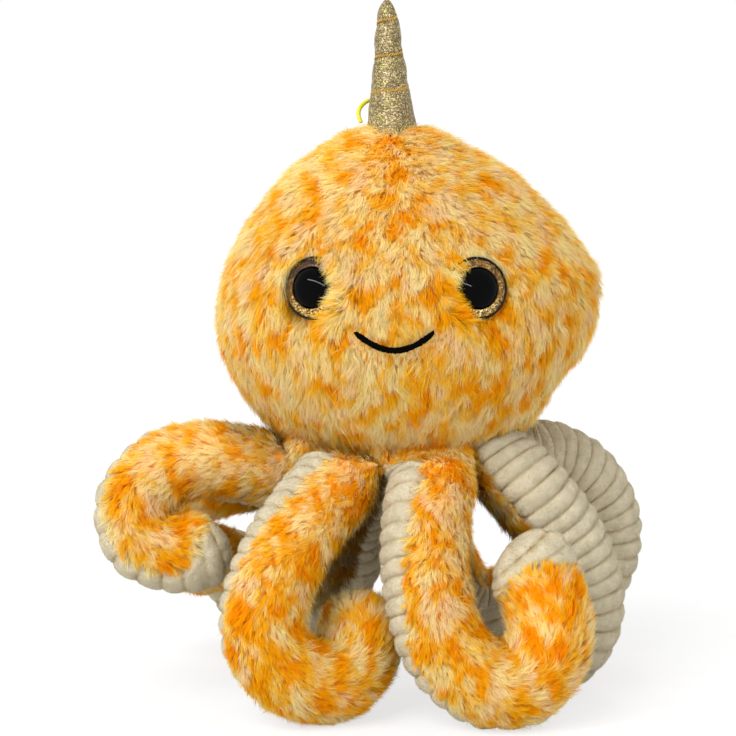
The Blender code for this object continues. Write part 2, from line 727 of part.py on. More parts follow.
def settle(stations):
    """Lower the arm beyond its root until its underside lies FLAT_DEPTH below the floor."""
    panels = [plush_section(station) for station in stations] + ribbed_rings(stations)
    drop = min(point.z for ring in panels for point in ring) + FLAT_DEPTH
    for k, station in enumerate(stations):
        station.centre = station.centre - UP * (drop * ease(2 * k / len(stations)))


def spread(first, last, sides):
    return [first + (last - first) * k / sides for k in range(sides + 1)]


def plush_section(station):
    half = station.half_angle
    outer = [station.point(a, 0, SEAM_GAP / 2) for a in spread(-half, half, PLUSH_OUTER_SIDES)]
    inner = [station.point(a, station.wall, SEAM_GAP / 2) for a in spread(half, -half, PLUSH_INNER_SIDES)]
    return outer + inner


def ribbed_section(station, depth):
    """The outer side lies depth below the crests of the ribs, except along the seams."""
    low, high = station.half_angle, math.tau - station.half_angle
    outer = [station.point(a, 0, -SEAM_GAP / 2) for a in spread(low, high, RIBBED_OUTER_SIDES)]
    for i, angle in list(enumerate(spread(low, high, RIBBED_OUTER_SIDES)))[1:-1]:
        outer[i] = station.point(angle, depth, -SEAM_GAP / 2)
    inner = [station.point(a, station.wall, -SEAM_GAP / 2) for a in spread(high, low, RIBBED_INNER_SIDES)]
    return outer + inner


def ribbed_rings(stations):
    """A groove at each station and a crest midway between two."""
    rings = []
    for here, after in zip(stations, stations[1:]):
        rings.append(ribbed_section(here, min(RIB_DEPTH, ARM_WALL_SHARE * here.wall)))
        crest = zip(ribbed_section(here, 0), ribbed_section(after, 0))
        rings.append([(a + b) / 2 for a, b in crest])
    rings.append(ribbed_section(stations[-1], 0))
    return rings


def stuffing_section(station):
    half = station.half_angle
    angles = spread(-half, half, PLUSH_INNER_SIDES) + spread(half, math.tau - half, RIBBED_INNER_SIDES)[1:-1]
    return [station.point(a, station.wall + FILL_GAP) for a in angles]


def build_arm(name, index, parts, floor_cutter, finishes):
    """One arm: plush top panel, ribbed underside panel and filling, hung on its seam line."""
    stands = ARM_SHARES[name][0]
    stations = arm_stations(index, *ARM_SHARES[name])
    pivot = add_pivot(f"arm_{name}_seam", arm_root(index), parts)
    plush = loft(f"arm_{name}_plush", [plush_section(station) for station in stations])
    ribbed = loft(f"arm_{name}_ribbed", ribbed_rings(stations))
    filling = loft(f"arm_{name}_stuffing", [stuffing_section(station) for station in stations[1:-1]])
    plush_object = add_object(f"arm_{name}_plush", plush, parts, finishes["plush"], pivot)
    ribbed_object = add_object(f"arm_{name}_ribbed", ribbed, parts, finishes["ribs"], pivot)
    add_object(f"arm_{name}_stuffing", filling, parts, finishes["fibre"], pivot)
    if stands:
        cut(plush_object, floor_cutter)
        cut(ribbed_object, floor_cutter)


def build_floor_cutter(cutters):
    bm = bmesh.new()
    bmesh.ops.create_cube(bm, size=1)
    reach = 4 * ARM_SPREAD
    bmesh.ops.scale(bm, verts=bm.verts, vec=(reach, reach, ARM_RADIUS))
    bmesh.ops.translate(bm, verts=bm.verts, vec=(0, 0, -ARM_RADIUS / 2))
    return add_object("floor_cutter", mesh_from(bm, "floor_cutter", smooth=False), cutters)


def centre_on_footprint():
    """Bring the origin from under the horn to under the middle of the footprint."""
    for item in bpy.context.scene.objects:
        if item.parent is None:
            item.location += Vector((FOOTPRINT_SHIFT_RIGHT, FOOTPRINT_SHIFT_BACK, 0))


def build():
    clear_scene()
    parts = new_collection("plush_octopus")
    cutters = new_collection("cutters")
    finishes = {
        "plush": material("orange_plush", ORANGE_PLUSH, 0.95),
        "ribs": material("cream_ribbed_plush", CREAM_RIBS, 0.9),
        "fibre": material("polyester_fibre", FIBRE_WHITE, 1.0),
        "button": material("black_button", BUTTON_BLACK, 0.08),
        "glitter": material("gold_glitter", GLITTER_GOLD, 0.3, 0.6),
        "washer": material("white_washer", WASHER_WHITE, 0.5),
        "mouth": material("black_thread", BUTTON_BLACK, 0.6),
        "horn": material("gold_cloth", HORN_GOLD, 0.4, 0.5),
        "thread": material("ochre_thread", THREAD_OCHRE, 0.6),
        "loop": material("yellow_cord", LOOP_YELLOW, 0.5),
    }
    panels = build_head_panels(parts, finishes["plush"])
    build_base_panel(parts, finishes["plush"])
    stuffing = build_head_stuffing(parts, finishes["fibre"])
    build_mouth(panels, parts, finishes["mouth"])
    build_eye(-1, panels["head_front_left_panel"], stuffing, parts, cutters, finishes)
    build_eye(1, panels["head_front_right_panel"], stuffing, parts, cutters, finishes)
    horn_pivot = add_pivot("horn_seam", head_top() + UP * HORN_PIVOT_ABOVE_HEAD, parts)
    build_horn(parts, horn_pivot, finishes)
    build_loop(panels, parts, finishes["loop"])
    floor_cutter = build_floor_cutter(cutters)
    for index, name in enumerate(ARM_SHARES):
        build_arm(name, index, parts, floor_cutter, finishes)
    centre_on_footprint()


build()
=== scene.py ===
import json
import math

import bpy
import numpy as np
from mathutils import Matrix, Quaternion, Vector, noise
from mathutils.bvhtree import BVHTree


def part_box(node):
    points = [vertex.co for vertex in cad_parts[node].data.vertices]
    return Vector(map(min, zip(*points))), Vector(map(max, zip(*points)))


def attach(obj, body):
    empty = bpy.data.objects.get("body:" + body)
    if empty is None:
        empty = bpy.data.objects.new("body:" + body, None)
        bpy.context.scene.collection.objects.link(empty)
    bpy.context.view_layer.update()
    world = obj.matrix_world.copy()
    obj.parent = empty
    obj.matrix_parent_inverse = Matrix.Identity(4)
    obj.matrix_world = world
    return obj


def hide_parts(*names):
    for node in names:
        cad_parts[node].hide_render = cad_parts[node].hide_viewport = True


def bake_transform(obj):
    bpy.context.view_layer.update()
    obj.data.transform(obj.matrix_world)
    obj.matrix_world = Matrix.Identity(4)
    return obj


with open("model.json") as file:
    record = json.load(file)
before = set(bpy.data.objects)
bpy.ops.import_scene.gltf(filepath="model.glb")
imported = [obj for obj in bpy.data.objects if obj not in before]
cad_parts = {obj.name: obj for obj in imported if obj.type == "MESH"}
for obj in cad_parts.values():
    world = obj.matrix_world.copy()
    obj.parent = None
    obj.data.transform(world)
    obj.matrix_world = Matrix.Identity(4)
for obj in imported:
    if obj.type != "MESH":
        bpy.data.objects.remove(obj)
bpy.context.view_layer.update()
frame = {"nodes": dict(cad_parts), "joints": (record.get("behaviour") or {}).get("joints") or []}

UP = np.array([0.0, 0.0, 1.0])
FRONT = np.array([0.0, -1.0, 0.0])
SEAT_GAP = 0.0003

# Head: radius and height shares of its outline, from the pole under it to the pole on top
HEAD_OUTLINE_SHARES = (
    (0.0, 0.0), (0.27, 0.006), (0.515, 0.028), (0.72, 0.076), (0.885, 0.183), (0.98, 0.305), (1.0, 0.415),
    (0.955, 0.555), (0.85, 0.677), (0.73, 0.768), (0.585, 0.86), (0.31, 0.966), (0.12, 0.994), (0.0, 1.0),
)
HEAD_RIGHT_SHARES = (
    (0.028, 1.0), (0.076, 0.94), (0.183, 0.89), (0.305, 0.955), (0.415, 0.995), (0.555, 1.04), (0.677, 1.01),
    (0.768, 1.0), (0.86, 0.97), (0.966, 0.88), (0.994, 0.94), (1.0, 1.0),
)
BASE_PANEL_LOW_SHARE = 0.006
BASE_PANEL_RADIUS_SHARE = 0.515
OUTLINE_STEPS = 40
GORE_COLUMNS = 60
GORE_ROWS = 110
BASE_ROWS = 24
HEAD_SKIN_DEPTH = 0.0062
HEAD_SEAM_DIP = 0.0010
HEAD_SEAM_REACH = 0.006
HEAD_FOOT_SHARE = 0.16
HEAD_FOOT_LONGER = 0.8
BASE_PILE_SHARE = 0.7
POLE_GAP_LOW = 0.0005
POLE_GAP_HIGH = 0.0015

# Arms, as in part.py
ARM_SPREAD = 0.100
HEAD_BOTTOM = 0.121
ARM_RADIUS = 0.0205
ROOT_DROP = math.radians(50)
ROOT_LEAD = 0.015
ROOT_HALF_WIDTH = 0.0220
ROOT_HALF_THICKNESS = 0.0170
ROOT_SWELL_LENGTH = 0.018
ROOT_OVERLAP = 0.016
ROOT_TWIST_START = -0.010
ROOT_TWIST_LENGTH = 0.014
TIP_ROUNDING = 0.016
TIP_WRAP_LENGTH = 0.022
STATION_PITCH = 0.010
FLAT_DEPTH = 0.0005
PLUSH_HALF_ANGLE = math.radians(90)
TIP_HALF_ANGLE = math.radians(35)
CAP_LENGTHS = {"front_right": 0.012, "left": 0.006}
PLAIN_CAP_LENGTH = 0.0015
CAP_CLOSING = 0.010
CURVE_STEPS = 24
ARM_SHARES = {
    "front_right": (True, -1, (20, 22, 46, 80, 84), 1.06, (
        (0.165, -0.605, 0.840), (0.150, -0.700, 0.700), (0.170, -0.790, 0.530), (0.245, -0.845, 0.345),
        (0.420, -0.865, 0.210), (0.610, -0.855, 0.205), (0.735, -0.830, 0.345), (0.720, -0.800, 0.515),
        (0.645, -0.780, 0.660), (0.550, -0.765, 0.740))),
    "right": (True, 1, (-32, -33, -34, -35, -35), 1.03, (
        (0.690, -0.275, 0.820), (0.825, -0.260, 0.670), (0.915, -0.240, 0.500),
        (0.935, -0.215, 0.325), (0.850, -0.180, 0.190), (0.680, -0.140, 0.170), (0.555, -0.105, 0.260),
        (0.530, -0.085, 0.350))),
    "right_rear": (False, 1, (-40, -42, -45, -48, -50), 0.98, (
        (0.800, 0.270, 0.905), (0.970, 0.330, 0.815), (1.080, 0.380, 0.645), (1.065, 0.410, 0.440),
        (0.920, 0.430, 0.320), (0.740, 0.440, 0.340), (0.650, 0.440, 0.450))),
    "rear_right": (True, -1, (-60, -58, -55, -52, -50), 0.96, (
        (0.245, 0.660, 0.730), (0.225, 0.800, 0.530), (0.285, 0.890, 0.345),
        (0.400, 0.955, 0.195), (0.580, 0.980, 0.165), (0.730, 0.980, 0.240), (0.790, 0.960, 0.370))),
    "rear_left": (True, 1, (55, 32, 4, -6, -10), 0.98, (
        (-0.185, 0.645, 0.730), (-0.240, 0.755, 0.540), (-0.265, 0.845, 0.350),
        (-0.410, 0.895, 0.200), (-0.610, 0.915, 0.175), (-0.780, 0.910, 0.265), (-0.840, 0.890, 0.400),
        (-0.800, 0.880, 0.500))),
    "left_rear": (False, -1, (90, 85, 75, 65, 60), 0.93, (
        (-0.705, 0.310, 0.840), (-0.905, 0.350, 0.800), (-1.085, 0.385, 0.710),
        (-1.140, 0.415, 0.560), (-1.035, 0.465, 0.455), (-0.870, 0.505, 0.455), (-0.770, 0.525, 0.530))),
    "left": (False, -1, (125, 118, 75, 25, 5), 0.97, (
        (-0.740, -0.215, 0.960), (-0.930, -0.260, 0.985), (-1.130, -0.305, 0.945),
        (-1.262, -0.370, 0.820), (-1.225, -0.430, 0.685), (-1.075, -0.455, 0.635), (-0.920, -0.445, 0.650),
        (-0.820, -0.415, 0.690))),
    "front_left": (True, -1, (40, 44, 64, 78, 82), 1.06, (
        (-0.410, -0.640, 0.800), (-0.530, -0.740, 0.655), (-0.610, -0.810, 0.480),
        (-0.595, -0.845, 0.320), (-0.465, -0.830, 0.200), (-0.290, -0.750, 0.170), (-0.180, -0.630, 0.255),
        (-0.150, -0.510, 0.370), (-0.140, -0.440, 0.430))),
}

# Ribbed panels
RIB_PITCH = 0.0073
RIB_STEPS = 11
RIB_COLUMNS = 72
TIP_STEPS = 16
RIB_GROOVE = 0.0024
RIB_ROUNDNESS = 0.44
RIB_WAVER = 0.10
RIB_WAVER_SCALE = 42.0
RIB_LUMP = 0.0005
RIB_CREASE = 0.0003
RIB_EDGE_TUCK = 0.0036
RIB_EDGE_SHARE = 0.13
RIB_PUCKERS = 11
RIB_PUCKER_DEPTH = 0.0009
TIP_PUCKER_START = 0.013
TIP_PUCKER_FADE = 0.010
CAP_PUCKER_START = 0.004
CAP_PUCKER_FADE = 0.008
ARM_SKIN_DEPTH = 0.0042
ARM_SKIN_COLUMNS = 26
SHALLOW_SHARE = 0.45

# Stitches: each ring's place along, its width, and how far it stands past its place, in radii
CAPSULE_RINGS = (
    (0.0, 0.15, -0.5), (0.0, 0.7, -0.15), (0.18, 1.0, 0.0), (0.5, 1.08, 0.0), (0.82, 1.0, 0.0),
    (1.0, 0.7, 0.15), (1.0, 0.15, 0.5),
)

# Pile
HEAD_FIBRE_LENGTH = 0.0082
ARM_FIBRE_LENGTH = 0.0070
FIBRES_PER_AREA = 4.0e6
FIBRES_PER_CLUMP = 10
FIBRE_HALF_WIDTH = 0.00015
FIBRE_OWN_SHARE = 0.55
CLUMP_RADIUS = 0.0012
GATHER_MIDDLE = 0.30
GATHER_TIP = 0.42
TOUSLE_SCALE = 95.0
TOUSLE_ANGLE = math.radians(46)
LEAN_FIRST = math.radians(44)
LEAN_LAST = math.radians(76)
LEAN_WAVER = math.radians(12)
STRAY_SHARE = 0.06
FLOOR_CLEARANCE = 0.0004
SKIN_CLEARANCE = 0.0010
CLOTH_CLEARANCE = 0.0002
# Painted shade on the arms' pile that faces in, under the head and between the arms: its strength, and the
# radius round the head's axis where it fades out.
INNER_SHADE = 0.8
INNER_RADIUS = 0.100
INNER_FADE = 0.030
ROOT_SHORT_START = 0.004
ROOT_SHORT_LENGTH = 0.022
END_SHORT_LENGTH = 0.006
NAP_PER_AREA = 4.0e6
NAP_LENGTH = 0.0009
NAP_HALF_WIDTH = 0.00012
NAP_LEAN_LEAST = math.radians(20)
NAP_LEAN_MOST = math.radians(65)

# Eyes
EYE_SINK = 0.0012
EYE_CLEAR_RADIUS = 0.0146
EYE_COMB_RADIUS = 0.0225
EYE_COMB_STRENGTH = 1.5
EYE_DEPTH = 0.02
EYE_OVERHANG_LIFT = math.radians(20)
EYE_OVERHANG_LENGTH = 0.62
EYE_EXTRA_CLUMPS = 2
# Painted shade on the pile round the eyes reaches out to this radius.
EYE_SHADE_RADIUS = 0.0190
EYE_CUT_NOSE_RADIUS = 0.0083
EYE_CUT_RADII = (0.0134, 0.0143)
# For each eye: painted shade above it, painted shade beside it, and how far the pile laps over its rim.
EYE_SHADES = ((0.95, 0.70, 0.85), (0.30, 0.10, 0.05))
# Painted shade on each glitter ring: its strength towards the top and outer side, and an offset.
EYE_RING_SHADES = {"left": (1.0, -0.02), "right": (0.5, 0.05)}
EYE_COLLAR = 0.0014
EYE_POLE_RADIUS = 0.00002
EYE_RING_LOW = 0.0013
EYE_RING_RISE = 0.0021
EYE_RIM_WIDTH = 0.0010
EYE_RIM_BULGE = 1.25
EYE_RIM_LOW = 0.0008
EYE_RIM_RISE = 0.0011
EYE_RIM_FOOT = 0.001
DOME_STEPS = 18
SLOPE_STEPS = 14
RIM_STEPS = 12

# Mouth, as in part.py, and its satin stitches
MOUTH_WIDTH = 0.0385
MOUTH_SAG = 0.009
MOUTH_THREAD = 0.0024
MOUTH_MIDDLE_ABOVE_BOTTOM = 0.0685
MOUTH_POINTS = 14
MOUTH_STITCH_STEP = 0.00042
MOUTH_STITCH_RADIUS = 0.00036
MOUTH_STITCH_LENGTH = 0.0031
MOUTH_STITCH_SLANT = 0.55
MOUTH_STITCH_UNEVEN = 0.00008
MOUTH_END_GAP = 0.0011
MOUTH_TAPER = 0.005
MOUTH_PRESS_REACH = 0.0045
MOUTH_PRESS = 0.62

# Horn, as in part.py
HORN_HEIGHT = 0.0575
HORN_BASE_RADIUS = 0.0114
HORN_TIP_RADIUS = 0.0052
HORN_FLARE_POWER = 1.35
HORN_ROUNDING = 0.012
HORN_ROUNDING_POWER = 0.8
HORN_PINCH = 0.0006
HORN_LIFT = 0.0016
HORN_SHIFT_LEFT = 0.0010
HORN_LEAN_LEFT = 0.0023
HORN_LEAN_BACK = 0.003
HORN_PITCH = 0.0172
HORN_FIRST_TURN_SHARE = 0.74
HORN_TURNS = 2.56
HORN_START_ANGLE = math.radians(-100)
HORN_FRONT_LEVEL_SHARE = 0.8
HORN_FOOT = -0.008
HORN_COLUMNS = 120
HORN_ROWS = 170
HORN_STITCH_LENGTH = 0.0021
HORN_STITCH_RADIUS = 0.00036
HORN_STITCH_STEP = 0.0014
HORN_STITCH_SINK = 0.00015
HORN_CREASE = 0.00050
HORN_CREASE_REACH = 0.0010
HORN_PUCKERS = 31
HORN_PUCKER = 0.00020
HORN_PUCKER_REACH = 0.0030
HORN_WAVE = 0.00045
HORN_RIPPLE = 0.00012
HORN_WAVE_RADIUS = 0.004
HORN_POLE_RADIUS = 0.00005

# Hang loop, as in part.py
LOOP_THICKNESS = 0.0021
LOOP_ROUTE = (
    (-0.0025, 0.0125, 0.0000), (-0.0035, 0.0130, 0.0042), (-0.0070, 0.0125, 0.0079),
    (-0.0120, 0.0100, 0.0088), (-0.0160, 0.0065, 0.0060), (-0.0172, 0.0040, 0.0022),
    (-0.0160, 0.0025, -0.0015),
)

# Camera and lights
CAMERA_TARGET = (-0.0041, -0.0055, 0.161)
CAMERA_DISTANCE = 1.4
CAMERA_ELEVATION = math.radians(8)
CAMERA_LENS = 136.96
SUNS = (
    ("key", (-0.72, -0.95, 1.0), 46.0, 2.72), ("fill", (0.9, -0.9, 0.6), 80.0, 0.75),
    ("edge", (-1.0, 0.15, 0.45), 60.0, 0.60), ("back", (0.5, 1.0, 0.7), 90.0, 0.9),
)
SUN_COLOUR = (1.0, 0.985, 0.96)
WORLD_STRENGTH = 0.46
STRIP_SIZE = (1.5, 0.035)
STRIP_WATTS = 16.0
STRIP_PLACE = (-0.42, -1.0, 0.74)
STRIP_SLANT = math.radians(-12)
FLOOR_REACH = 6.0
FLOOR_WHITE_SHARE = 0.7
FLOOR_BOUNCE = 0.75


# Numbers and directions

def lengths_of(vectors):
    return np.linalg.norm(vectors, axis=-1, keepdims=True)


def unit(vectors):
    return vectors / np.maximum(lengths_of(vectors), 1e-12)


def dot(a, b):
    return np.sum(a * b, axis=-1, keepdims=True)


def ease(value):
    """Smooth step from 0 to 1."""
    value = np.clip(value, 0, 1)
    return value * value * (3 - 2 * value)


def smooth_route(points, steps):
    """Catmull-Rom curve through the points, with the given steps in each span."""
    points = np.asarray(points, float)
    ends = np.vstack([2 * points[:1] - points[1:2], points, 2 * points[-1:] - points[-2:-1]])
    t = (np.arange(steps) / steps)[:, None]
    spans = []
    for a, b, c, d in zip(ends, ends[1:], ends[2:], ends[3:]):
        square = 2 * a - 5 * b + 4 * c - d
        cubic = 3 * b - a - 3 * c + d
        spans.append(0.5 * (2 * b + (c - a) * t + square * t ** 2 + cubic * t ** 3))
    return np.vstack([*spans, points[-1:]])


def lengths_along(route):
    return np.concatenate([[0], np.cumsum(np.linalg.norm(np.diff(route, axis=0), axis=1))])


def at_lengths(route, lengths, wanted):
    return np.stack([np.interp(wanted, lengths, route[:, axis]) for axis in range(route.shape[1])], axis=-1)


def field(points, scale, offset):
    """Smooth noise from about -1 to 1 at each point."""
    flat = np.asarray(points).reshape(-1, 3) * scale + offset
    values = [noise.noise(Vector(point)) for point in flat.tolist()]
    return np.array(values).reshape(np.asarray(points).shape[:-1] + (1,))


def rng_for(name):
    """A generator whose numbers depend only on the piece's name."""
    return np.random.default_rng([ord(letter) for letter in name])


# Materials

def shade(red, green, blue):
    """A colour written as the screen shows it, from 0 to 255, in linear light."""
    def linear(value):
        value /= 255
        return value / 12.92 if value <= 0.04045 else ((value + 0.055) / 1.055) ** 2.4
    return (linear(red), linear(green), linear(blue), 1)


class Nodes:
    """A material's node tree, with short ways to add and link nodes."""

    def __init__(self, name):
        self.material = bpy.data.materials.new(name)
        self.material.use_nodes = True
        self.tree = self.material.node_tree
        self.shader = self.tree.nodes["Principled BSDF"]

    def add(self, kind, settings=None, **inputs):
        node = self.tree.nodes.new("ShaderNode" + kind)
        for key, value in (settings or {}).items():
            setattr(node, key, value)
        for key, value in inputs.items():
            self.set(node, key.replace("_", " "), value)
        return node

    def set(self, node, key, value):
        socket = node.inputs[int(key)] if key.isdigit() else node.inputs[key]
        if isinstance(value, bpy.types.NodeSocket):
            self.tree.links.new(value, socket)
        else:
            socket.default_value = value

    def finish(self, **inputs):
        for key, value in inputs.items():
            self.set(self.shader, key.replace("_", " "), value)
        return self.material

    def see_through(self, colour, share):
        """Let a share of the light pass on through the surface."""
        self.blend_in(self.add("BsdfTranslucent", Color=colour), share)

    def blend_in(self, other, share):
        both = self.add("MixShader", Fac=share)
        self.set(both, "1", self.shader.outputs[0])
        self.set(both, "2", other.outputs[0])
        self.tree.links.new(both.outputs[0], self.tree.nodes["Material Output"].inputs["Surface"])

    def attribute(self, name):
        return self.add("Attribute", {"attribute_name": name})

    def noise(self, vector, scale, detail=2.0, distortion=0.0, roughness=0.5):
        node = self.add("TexNoise", Scale=scale, Detail=detail, Distortion=distortion, Roughness=roughness)
        if vector is not None:
            self.set(node, "Vector", vector)
        return node.outputs["Fac"]

    def math(self, operation, a, b=0.0, clamp=False):
        node = self.add("Math", {"operation": operation, "use_clamp": clamp})
        self.set(node, "0", a)
        self.set(node, "1", b)
        return node.outputs[0]

    def ramp(self, fac, stops, interpolation="LINEAR"):
        node = self.add("ValToRGB", Fac=fac)
        node.color_ramp.interpolation = interpolation
        elements = node.color_ramp.elements
        while len(elements) < len(stops):
            elements.new(0.5)
        for element, (position, colour) in zip(elements, stops):
            element.position = position
            element.color = colour
        return node.outputs["Color"]

    def mix(self, fac, a, b, blend="MIX"):
        node = self.add("Mix", {"data_type": "RGBA", "blend_type": blend})
        self.set(node, "0", fac)
        self.set(node, "6", a)
        self.set(node, "7", b)
        return node.outputs[2]

    def bump(self, height, distance, strength=1.0):
        return self.add("Bump", Strength=strength, Distance=distance, Height=height).outputs["Normal"]


def fur_material(name, warmth):
    """Mottled pile, with painted shade towards the fibres' roots and where shaded is set. warmth moves the
    pattern from cream to orange.
    """
    n = Nodes(name)
    root = n.attribute("root").outputs["Vector"]
    tone = n.attribute("tone").outputs["Fac"]
    along = n.attribute("along").outputs["Fac"]
    shaded = n.attribute("shaded").outputs["Fac"]
    long_root = n.add("Mapping", Vector=root, Scale=(1.0, 1.0, 0.62)).outputs["Vector"]
    patches = n.noise(long_root, 142.0, 2.0, 0.6, 0.5)
    wide = n.noise(root, 40.0, 1.0)
    level = n.math("ADD", patches, n.math("MULTIPLY", tone, 0.026))
    level = n.math("ADD", level, n.math("MULTIPLY", n.math("SUBTRACT", wide, 0.5), 0.26))
    level = n.math("ADD", level, warmth)
    blush = n.ramp(n.noise(root, 85.0, 2.0, 0.5), ((0.46, (0, 0, 0, 1)), (0.60, (1, 1, 1, 1))))
    pale = n.mix(n.math("MULTIPLY", blush, 0.7), shade(255, 246, 196), shade(255, 228, 190))
    spot = n.ramp(level, (
        (0.48, shade(255, 236, 128)), (0.53, shade(255, 222, 60)), (0.59, shade(255, 206, 14)),
        (0.68, shade(255, 182, 0))))
    colour = n.mix(n.ramp(level, ((0.44, (0, 0, 0, 1)), (0.56, (1, 1, 1, 1)))), pale, spot)
    # Painted shade: the fibres darken towards their roots, deep in the pile.
    depth_shade = n.ramp(along, (
        (0.0, shade(250, 206, 120)), (0.5, shade(255, 248, 228)), (1.0, shade(255, 255, 255))))
    colour = n.mix(1.0, colour, depth_shade, "MULTIPLY")
    # Painted shade from the shaded attribute: brown round the eyes and on the arms' inner sides.
    colour = n.mix(shaded, colour, shade(92, 46, 6))
    n.see_through(colour, 0.42)
    return n.finish(Base_Color=colour, Roughness=0.75, Specular_IOR_Level=0.08)


def mottled_material(name, scale, stops, roughness, gloss=0.5, detail=2.0, distortion=0.0, woven=False):
    """Small patches of a few shades."""
    n = Nodes(name)
    place = n.add("TexCoord").outputs["Object"]
    colour = n.ramp(n.noise(place, scale, detail, distortion), stops)
    if woven:
        n.set(n.shader, "Normal", n.bump(n.noise(place, 5200.0), 0.00015, 0.6))
    return n.finish(Base_Color=colour, Roughness=roughness, Specular_IOR_Level=gloss)


def rib_material(name, through=0.0):
    """Cream velour, painted darker in its grooves and puckers as shade. through is the light that passes
    through the hairs of its nap.
    """
    n = Nodes(name)
    place = n.attribute("rest").outputs["Vector"]
    groove = n.attribute("groove").outputs["Fac"]
    mottle = n.noise(place, 160.0, 3.0)
    nap = n.noise(place, 2600.0, 2.0)
    base = n.ramp(mottle, ((0.36, shade(200, 190, 162)), (0.64, shade(214, 204, 178))))
    # Painted shade: darker deep in the grooves and puckers.
    low = n.ramp(groove, ((0.30, (1, 1, 1, 1)), (0.75, shade(238, 228, 208)), (1.0, shade(200, 178, 142))))
    colour = n.mix(1.0, base, low, "MULTIPLY")
    colour = n.mix(n.math("MULTIPLY", n.math("SUBTRACT", nap, 0.45), 0.9, True), colour, shade(184, 176, 156))
    height = n.math("ADD", n.math("MULTIPLY", nap, 0.6), n.noise(place, 520.0, 3.0))
    if through:
        n.see_through(colour, through)
    return n.finish(
        Base_Color=colour, Roughness=0.95, Specular_IOR_Level=0.05, Sheen_Weight=0.2, Sheen_Roughness=0.6,
        Normal=n.bump(height, 0.0006, 0.8))


def glitter_material(name):
    n = Nodes(name)
    place = n.add("TexCoord").outputs["Object"]
    flakes = n.add("TexVoronoi", Vector=place, Scale=1500.0)
    spread = n.add("SeparateColor", Color=flakes.outputs["Color"])
    colour = n.ramp(spread.outputs["Red"], (
        (0.0, shade(66, 42, 10)), (0.30, shade(122, 86, 28)), (0.60, shade(178, 136, 52)),
        (0.82, shade(236, 200, 92)), (0.94, shade(255, 250, 200))))
    # Painted shade: the ring darkens where shaded is high, at its top and outer side.
    shaded = n.ramp(n.attribute("shaded").outputs["Fac"], (
        (0.0, shade(255, 255, 255)), (0.5, shade(196, 176, 150)), (1.0, shade(96, 70, 40))))
    colour = n.mix(1.0, colour, shaded, "MULTIPLY")
    tilt = n.bump(spread.outputs["Green"], 0.0004, 0.9)
    return n.finish(Base_Color=colour, Metallic=0.3, Roughness=0.35, Normal=tilt)


def gold_cloth_material(name):
    n = Nodes(name)
    place = n.attribute("rest").outputs["Vector"]
    flakes = n.add("TexVoronoi", Vector=place, Scale=2100.0)
    spread = n.add("SeparateColor", Color=flakes.outputs["Color"])
    colour = n.ramp(spread.outputs["Red"], (
        (0.0, shade(88, 77, 44)), (0.35, shade(120, 107, 70)), (0.70, shade(148, 135, 96)),
        (0.92, shade(214, 205, 170))))
    tint = n.ramp(n.noise(place, 230.0, 2.0), (
        (0.36, shade(236, 226, 206)), (0.5, shade(255, 246, 230)), (0.64, shade(242, 240, 190))))
    colour = n.mix(1.0, colour, tint, "MULTIPLY")
    weave = n.noise(place, 1500.0, 2.0)
    height = n.math("ADD", spread.outputs["Green"], n.math("MULTIPLY", weave, 0.8))
    return n.finish(Base_Color=colour, Metallic=0.3, Roughness=0.42, Normal=n.bump(height, 0.00035, 0.8))


def thread_material(name, dark, light, roughness, gloss=0.5):
    return mottled_material(name, 1900.0, ((0.32, dark), (0.68, light)), roughness, gloss, woven=True)


def floor_material():
    """White paper whose shadows the camera sees fainter, as on the photograph's lit table."""
    n = Nodes("floor_paper")
    place = n.add("TexCoord").outputs["Object"]
    colour = n.ramp(n.noise(place, 60.0, 3.0), ((0.35, shade(252, 252, 252)), (0.65, shade(255, 255, 255))))
    path = n.add("LightPath").outputs
    seen = n.math("ADD", path["Is Camera Ray"], path["Is Glossy Ray"])
    seen = n.math("ADD", seen, path["Is Transmission Ray"], True)
    colour = n.mix(seen, (FLOOR_BOUNCE, FLOOR_BOUNCE, FLOOR_BOUNCE, 1), colour)
    n.blend_in(n.add("Emission", Strength=1.0), n.math("MULTIPLY", seen, FLOOR_WHITE_SHARE))
    return n.finish(Base_Color=colour, Roughness=0.9)


# Meshes

def add_object(name, data):
    item = bpy.data.objects.new(name, data)
    bpy.context.scene.collection.objects.link(item)
    return item


def present(item, body, slot, *nodes):
    """A piece rides on a body and stands for the nodes, which it hides. The slot is not used."""
    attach(item, body)
    if nodes:
        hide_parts(*nodes)


def add_mesh(name, points, corners, starts, finish):
    """A mesh object from points, each face's corners one after another, and where each face starts."""
    mesh = bpy.data.meshes.new(name)
    points = np.asarray(points, np.float32).reshape(-1, 3)
    mesh.vertices.add(len(points))
    mesh.vertices.foreach_set("co", points.ravel())
    mesh.loops.add(len(corners))
    mesh.loops.foreach_set("vertex_index", np.asarray(corners, np.int32))
    mesh.polygons.add(len(starts))
    mesh.polygons.foreach_set("loop_start", np.asarray(starts, np.int32))
    mesh.update(calc_edges=True)
    mesh.shade_smooth()
    mesh.materials.append(finish)
    return add_object(name, mesh)


def grid_corners(rows, columns, wrap=False):
    """Quads of a grid of points, rows by columns, with normals towards column x row."""
    i = np.arange(rows - 1)[:, None]
    j = np.arange(columns if wrap else columns - 1)[None, :]
    k = (j + 1) % columns
    low = i * columns
    high = low + columns
    quads = np.stack([low + j, low + k, high + k, high + j], axis=-1)
    return quads.reshape(-1, 4)


def add_grid(name, grid, finish, wrap=False):
    rows, columns = grid.shape[:2]
    quads = grid_corners(rows, columns, wrap)
    item = add_mesh(name, grid, quads.ravel(), np.arange(len(quads)) * 4, finish)
    put_attribute(item, "rest", "FLOAT_VECTOR", grid)
    return item


def put_attribute(item, name, kind, values):
    attribute = item.data.attributes.new(name, kind, "POINT")
    key = "vector" if kind == "FLOAT_VECTOR" else "value"
    attribute.data.foreach_set(key, np.asarray(values, np.float32).ravel())


def normals_of(grid):
    """Unit normals of a grid of points, along column direction x row direction."""
    return unit(np.cross(np.gradient(grid, axis=1), np.gradient(grid, axis=0)))


